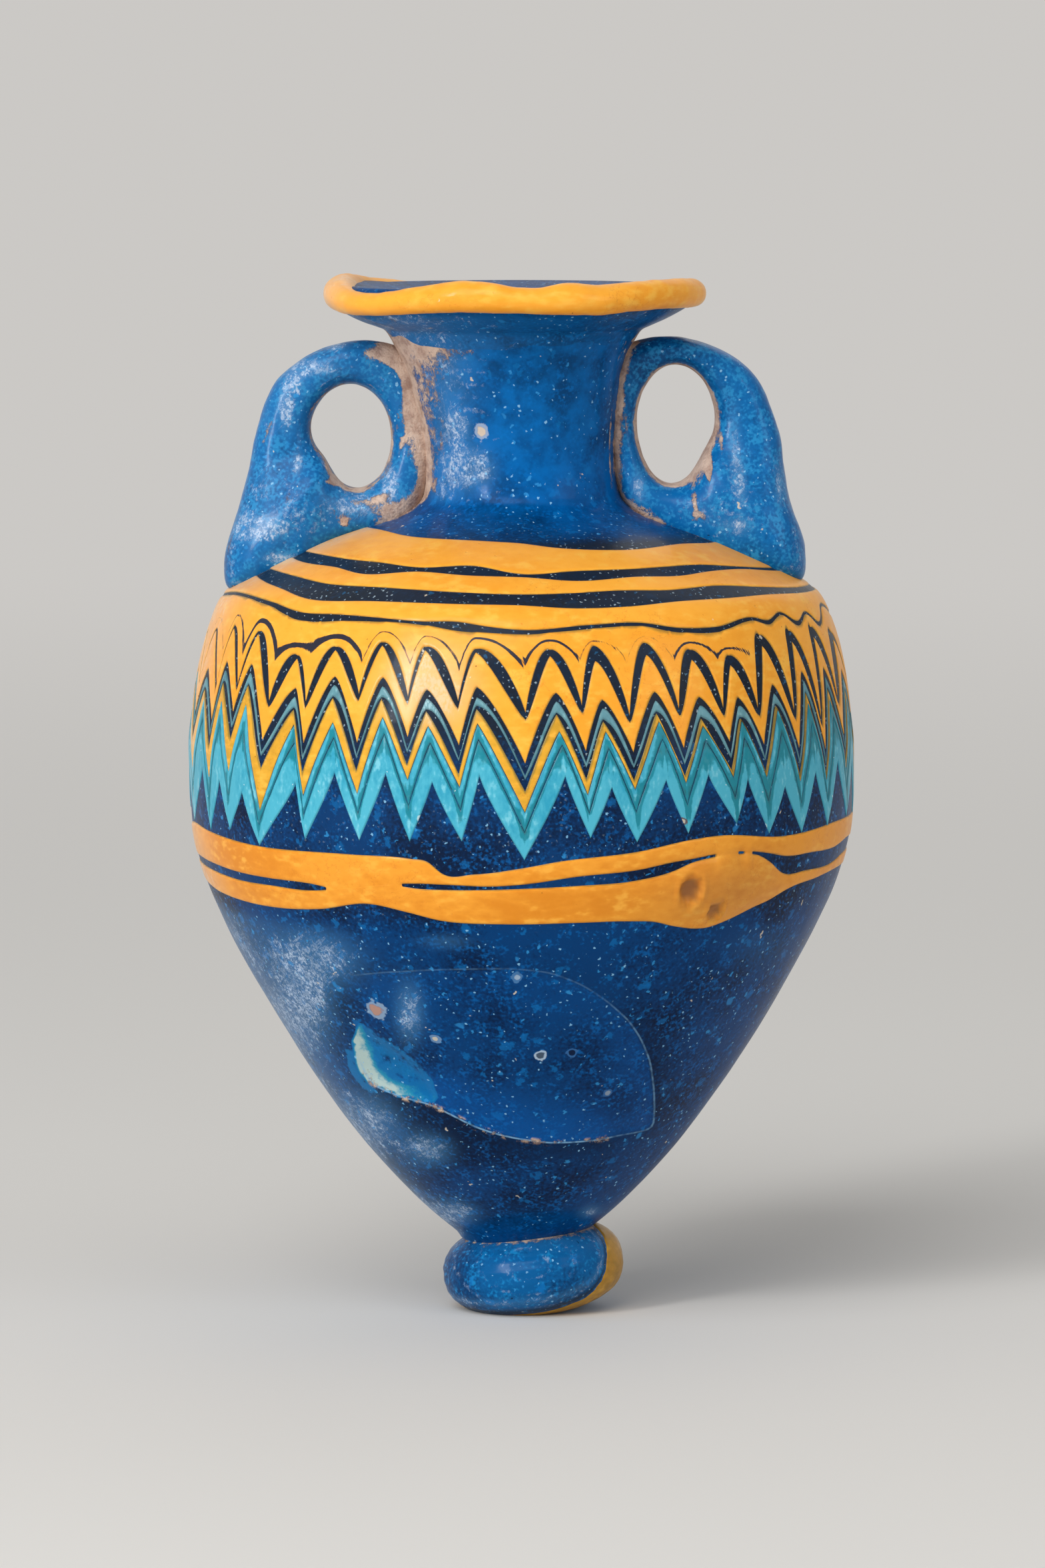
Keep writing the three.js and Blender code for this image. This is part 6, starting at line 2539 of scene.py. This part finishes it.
# Bloom and crust on the handles' fronts: across, height, half sizes, bloom and crust.
# The bloom is partly milky film and partly painted highlight, on the left arch and pads, below the
# left hole and along the right handle's limbs.
LEFT_MARKS = (
    (-19.8, 91.3, 2.2, 0.8, 0.8, 0), (-21.7, 90.0, 0.9, 1.2, 0.7, 0),
    (-22.6, 87.4, 0.7, 2.0, 0.8, 0),
    (-21.4, 82.2, 0.4, 1.0, 0.8, 0), (-26.3, 76.0, 1.2, 1.3, 0.8, 0),
    (-24.0, 76.0, 1.8, 1.0, 0.85, 0),
    (-23.0, 73.2, 1.6, 0.6, 0.8, 0), (-16.2, 78.2, 2.4, 1.2, 0.7, 0.3),
    (-12.6, 80.2, 0.7, 1.6, 0.9, 0),
    (-17.9, 80.4, 0.9, 0.35, 0, 0.7), (-17.0, 76.6, 0.5, 0.5, 0, 0.9),
    (-13.0, 92.4, 1.5, 1.2, 0.1, 0.75),
    (-24.4, 86.0, 0.5, 2.4, 0.2, 0.35), (-18.2, 93.4, 1.6, 0.5, 0.4, 0.35),
    (-14.3, 92.9, 0.8, 0.5, 0.3, 0.4),
    (-13.2, 78.3, 2.2, 1.0, 0.3, 0.5), (-10.9, 86.5, 0.6, 6.0, 0, 0.4),
    (-25.0, 79.5, 1.2, 2.5, 0.25, 0.2),
)
RIGHT_MARKS = (
    (20.4, 84.0, 0.7, 4.0, 0.7, 0.25), (21.0, 80.0, 0.6, 2.5, 0.8, 0),
    (24.7, 80.2, 0.6, 2.6, 0.8, 0.15),
    (20.5, 76.3, 1.9, 0.8, 0.8, 0.3), (17.2, 77.3, 1.4, 1.0, 0.4, 0.6),
    (19.2, 83.8, 0.35, 1.4, 0, 0.8),
    (18.0, 81.3, 0.35, 1.6, 0, 0.8), (16.6, 78.8, 0.4, 1.4, 0, 0.8), (11.2, 79.8, 0.8, 1.8, 0.9, 0),
)


# The setting


@dataclass
class Studio:
    """A pale floor, soft lights and the camera."""

    distance: float = 775.0
    camera_height: float = 123.0
    aim: float = 51.0
    lens: float = 185.05
    long_side: float = 36.0
    shift: float = 0.0007
    floor_radius: float = 4.0
    surroundings: float = 0.36
    backdrop: float = 0.62
    sun: float = 1.05
    fade: tuple[float, float] = (0.22, 1.1)
    lamps: tuple = (
        ("key", (-0.42, -0.46, 0.27), (0.1, 0.26), 1.8),
        ("high", (-0.05, -0.5, 0.55), (0.4, 0.4), 0.55),
        ("edge", (0.6, -0.45, 0.3), (0.35, 0.4), 0.7),
        ("back", (0.2, 0.8, 0.7), (0.7, 0.7), 0.7),
    )

    def make(self) -> None:
        """Builds the setting."""
        self.floor()
        self.world()
        self.camera()
        data = bpy.data.lights.new("sun", "SUN")
        data.energy, data.angle = self.sun, math.radians(40)
        self.lamp(data, (-0.38, -0.75, 0.8))
        for name, at, (width, height), power in self.lamps:
            data = bpy.data.lights.new(name, "AREA")
            data.shape, data.size, data.size_y, data.energy = "RECTANGLE", width, height, power
            self.lamp(data, at)

    def floor(self) -> None:
        """The plain floor, which turns into the backdrop far behind the vessel."""
        angle = np.linspace(0, TURN, 96, endpoint=False)
        ring = np.stack([np.sin(angle), np.cos(angle), 0 * angle], axis=-1) * self.floor_radius
        made = loose_object("floor", ring, [], [list(range(95, -1, -1))])
        material = bpy.data.materials.new("pale_floor")
        material.use_nodes = True
        material.node_tree.nodes.clear()
        wire = Wiring(material.node_tree)
        place = wire.add("ShaderNodeTexCoord").outputs["Object"]
        away = wire.add("ShaderNodeVectorMath", {0: place}, operation="LENGTH").outputs[1]
        far = wire.times(wire.step(away, *self.fade), self.seen(wire))
        near = wire.add(
            "ShaderNodeBsdfPrincipled",
            {"Base Color": linear("e2dfda"), "Roughness": 0.9, "Specular IOR Level": 0.1},
        )
        behind = wire.add("ShaderNodeEmission", {0: linear("fbf8f4"), 1: self.backdrop})
        mix = wire.add("ShaderNodeMixShader", {0: far, 1: near, 2: behind})
        wire.add("ShaderNodeOutputMaterial", {0: mix})
        made.data.materials.append(material)

    def world(self) -> None:
        """Even soft surroundings, seen and mirrored as a pale backdrop."""
        world = bpy.data.worlds.new("surroundings")
        bpy.context.scene.world = world
        world.use_nodes = True
        world.node_tree.nodes.clear()
        wire = Wiring(world.node_tree)
        seen = self.seen(wire)
        soft = wire.add("ShaderNodeBackground", {0: linear("f4f6f8"), 1: self.surroundings})
        behind = wire.add("ShaderNodeBackground", {0: linear("fbf8f4"), 1: self.backdrop})
        mix = wire.add("ShaderNodeMixShader", {0: seen, 1: soft, 2: behind})
        wire.add("ShaderNodeOutputWorld", {0: mix})

    def seen(self, wire: Wiring) -> Feed:
        """1 where the backdrop is looked at or mirrored, and 0 where it only lights.

        Args:
            wire: the wiring of a material or of the world.

        Returns:
            The share.
        """
        path = wire.add("ShaderNodeLightPath").outputs
        seen = wire.larger(path["Is Camera Ray"], path["Is Glossy Ray"])
        return wire.larger(seen, path["Is Transmission Ray"])

    def lamp(self, data: Light, at: tuple) -> None:
        """Places a lamp, in metres, and points it at the vessel.

        Args:
            data: the lamp.
            at: its place, in metres.
        """
        made = bpy.data.objects.new(data.name, data)
        made.location = at
        made.rotation_euler = (Vector((0, 0, 0.05)) - Vector(at)).to_track_quat(
            "-Z", "Y"
        ).to_euler()
        bpy.context.scene.collection.objects.link(made)

    def camera(self) -> None:
        """The camera, where the photograph was taken from."""
        data = bpy.data.cameras.new("camera")
        data.sensor_width = self.long_side
        data.lens = self.lens
        data.shift_x = self.shift
        made = bpy.data.objects.new("camera", data)
        made.location = (0, -self.distance * MM, self.camera_height * MM)
        look = math.atan2(self.camera_height - self.aim, self.distance)
        made.rotation_euler = (math.pi / 2 - look, 0, 0)
        bpy.context.scene.collection.objects.link(made)
        bpy.context.scene.camera = made


# Marks on the front: angle, height, radius, width of the ring, colour inside and around.
BODY_SPOTS = (
    (-33.0, 31.5, 0.75, 0.3, "b98f7c", "8fa9c4"), (4.4, 27.5, 0.42, 0.2, "4c5a68", "b8cde0"),
    (-0.8, 35.3, 0.35, 0.2, "9db4cc", "4d7fb0"), (12.0, 27.7, 0.4, 0.15, "0a1c3a", "3a6ea8"),
    (24.0, 23.3, 0.35, 0.12, "8e9fb2", "3a6ea8"), (-20.0, 29.0, 0.3, 0.2, "c9c3b4", "6f95bd"),
    (-23.0, 85.5, 0.5, 0.25, "d8c7b0", "9fb2cc"), (42.6, 89.2, 0.22, 0.16, "0a2c4c", "6fa5c8"),
    (45.0, 91.0, 0.3, 0.1, "5c4a44", "1b3d66"),
)
ZIGZAG_SPOTS = (
    (28.0, 50.1, 0.3, 0.14, "c8b49c", "6b3424"), (45.6, 48.9, 0.24, 0.2, "0a3038", "a8ccd2"),
    (-23.6, 52.6, 0.1, 0.14, "1a2a26", "b9dde0"), (-17.0, 50.6, 0.11, 0.22, "6a5a4c", "c2dfe2"),
    (14.0, 50.9, 0.1, 0.13, "3f4a48", "b9dde0"),
)


def spots_on(marks: Sequence[tuple], outline: Outline) -> tuple[Spot, ...]:
    """Marks placed on the body's surface, from their angles and heights.

    Args:
        marks: angle, height and the rest of each mark.
        outline: the body's outline.

    Returns:
        The marks with their centres.
    """
    found = []
    for angle, height, *rest in marks:
        centre = on_circle(np.array(angle), outline.radius(np.array(height)), np.array(height))
        found.append(Spot(tuple(centre.tolist()), *rest))
    return tuple(found)


def finishes(effects: Effects, outline: Outline) -> dict[str, Material]:
    """The finishes by name.

    Args:
        effects: the shared node groups.
        outline: the body's outline.

    Returns:
        The materials by the finish's name.
    """
    makers: dict[str, Callable[[Effects], Material]] = {
        "body": BlueGlass("cobalt_body", spots=spots_on(BODY_SPOTS, outline)).material,
        "handle": BlueGlass(
            "cobalt_handle", deep="05497f", ground="0a66a8", light="2486c0", azure=0.3,
            light_share=0.45,
            deep_share=0.3, pale=0.6, gloss=0.1,
        ).material,
        "rim": BlueGlass(
            "cobalt_rim", ground="024c8c", light="0a6cb0", pale=0.8, gloss=0.03
        ).material,
        "knob": BlueGlass(
            "cobalt_knob", deep="023463", ground="045a96", light="147fbc", azure=0.6
        ).material,
        "yellow_glass": YellowGlass("yellow_trail").material,
        # A darker copy of the yellow for the lower band: partly its own deeper colour, partly
        # painted shade where the body turns down, away from the light.
        "lower_trail": YellowGlass(
            "yellow_band", ground="f5a132", deep="e68d22", light="fbb142"
        ).material,
        "thread": YellowGlass(
            "yellow_thread", ground="e9ab35", deep="cf9a2c", fringe="5d5f34", fringe_width=0.32
        ).material,
        "foot_trail": YellowGlass(
            "yellow_foot", ground="bd8a2c", deep="9c7420", light="cf9c38"
        ).material,
        "turquoise_glass": TurquoiseGlass(
            "turquoise_trail", spots=spots_on(ZIGZAG_SPOTS, outline)
        ).material,
        "turquoise_thread": TurquoiseGlass(
            "turquoise_thread", ground="6899a4", deep="517f8c", light="86b6bd", fringe="3d6069"
        ).material,
    }
    return {name: make(effects) for name, make in makers.items()}


def main() -> None:
    """Builds the vessel from its foot to its rim, then the setting."""
    logging.basicConfig(level=logging.INFO, format="%(name)s: %(message)s")
    bpy.context.scene.view_settings.view_transform = "Standard"
    outline = Outline()
    maker = Maker(Forms(), outline, finishes(Effects(), outline))
    Studio().make()
    KnobFoot().make(maker)
    Vessel().make(maker)
    CombedTrails().make(maker)
    Handle(
        Side.LEFT, 3.95, 5.15, 6.4, 3.2, 5.5, 0.878, -0.02, 0.28, (1, 0.83, 0.74, 0.95),
        marks=LEFT_MARKS
    ).make(maker)
    Handle(
        Side.RIGHT, 3.75, 5.8, 7.1, 1.8, 6.4, 0.84, 0.07, 0.17, (0.97, 0.72, 0.41, 0.66),
        lining=0.95, seed=5.0, marks=RIGHT_MARKS, streaks=0.2, stain=0.12, bloom=0.14, waist=0.576,
    ).make(maker)
    Rim().make(maker)
    crust_near_joins(maker.pieces)


if __name__ == "__main__":
    main()
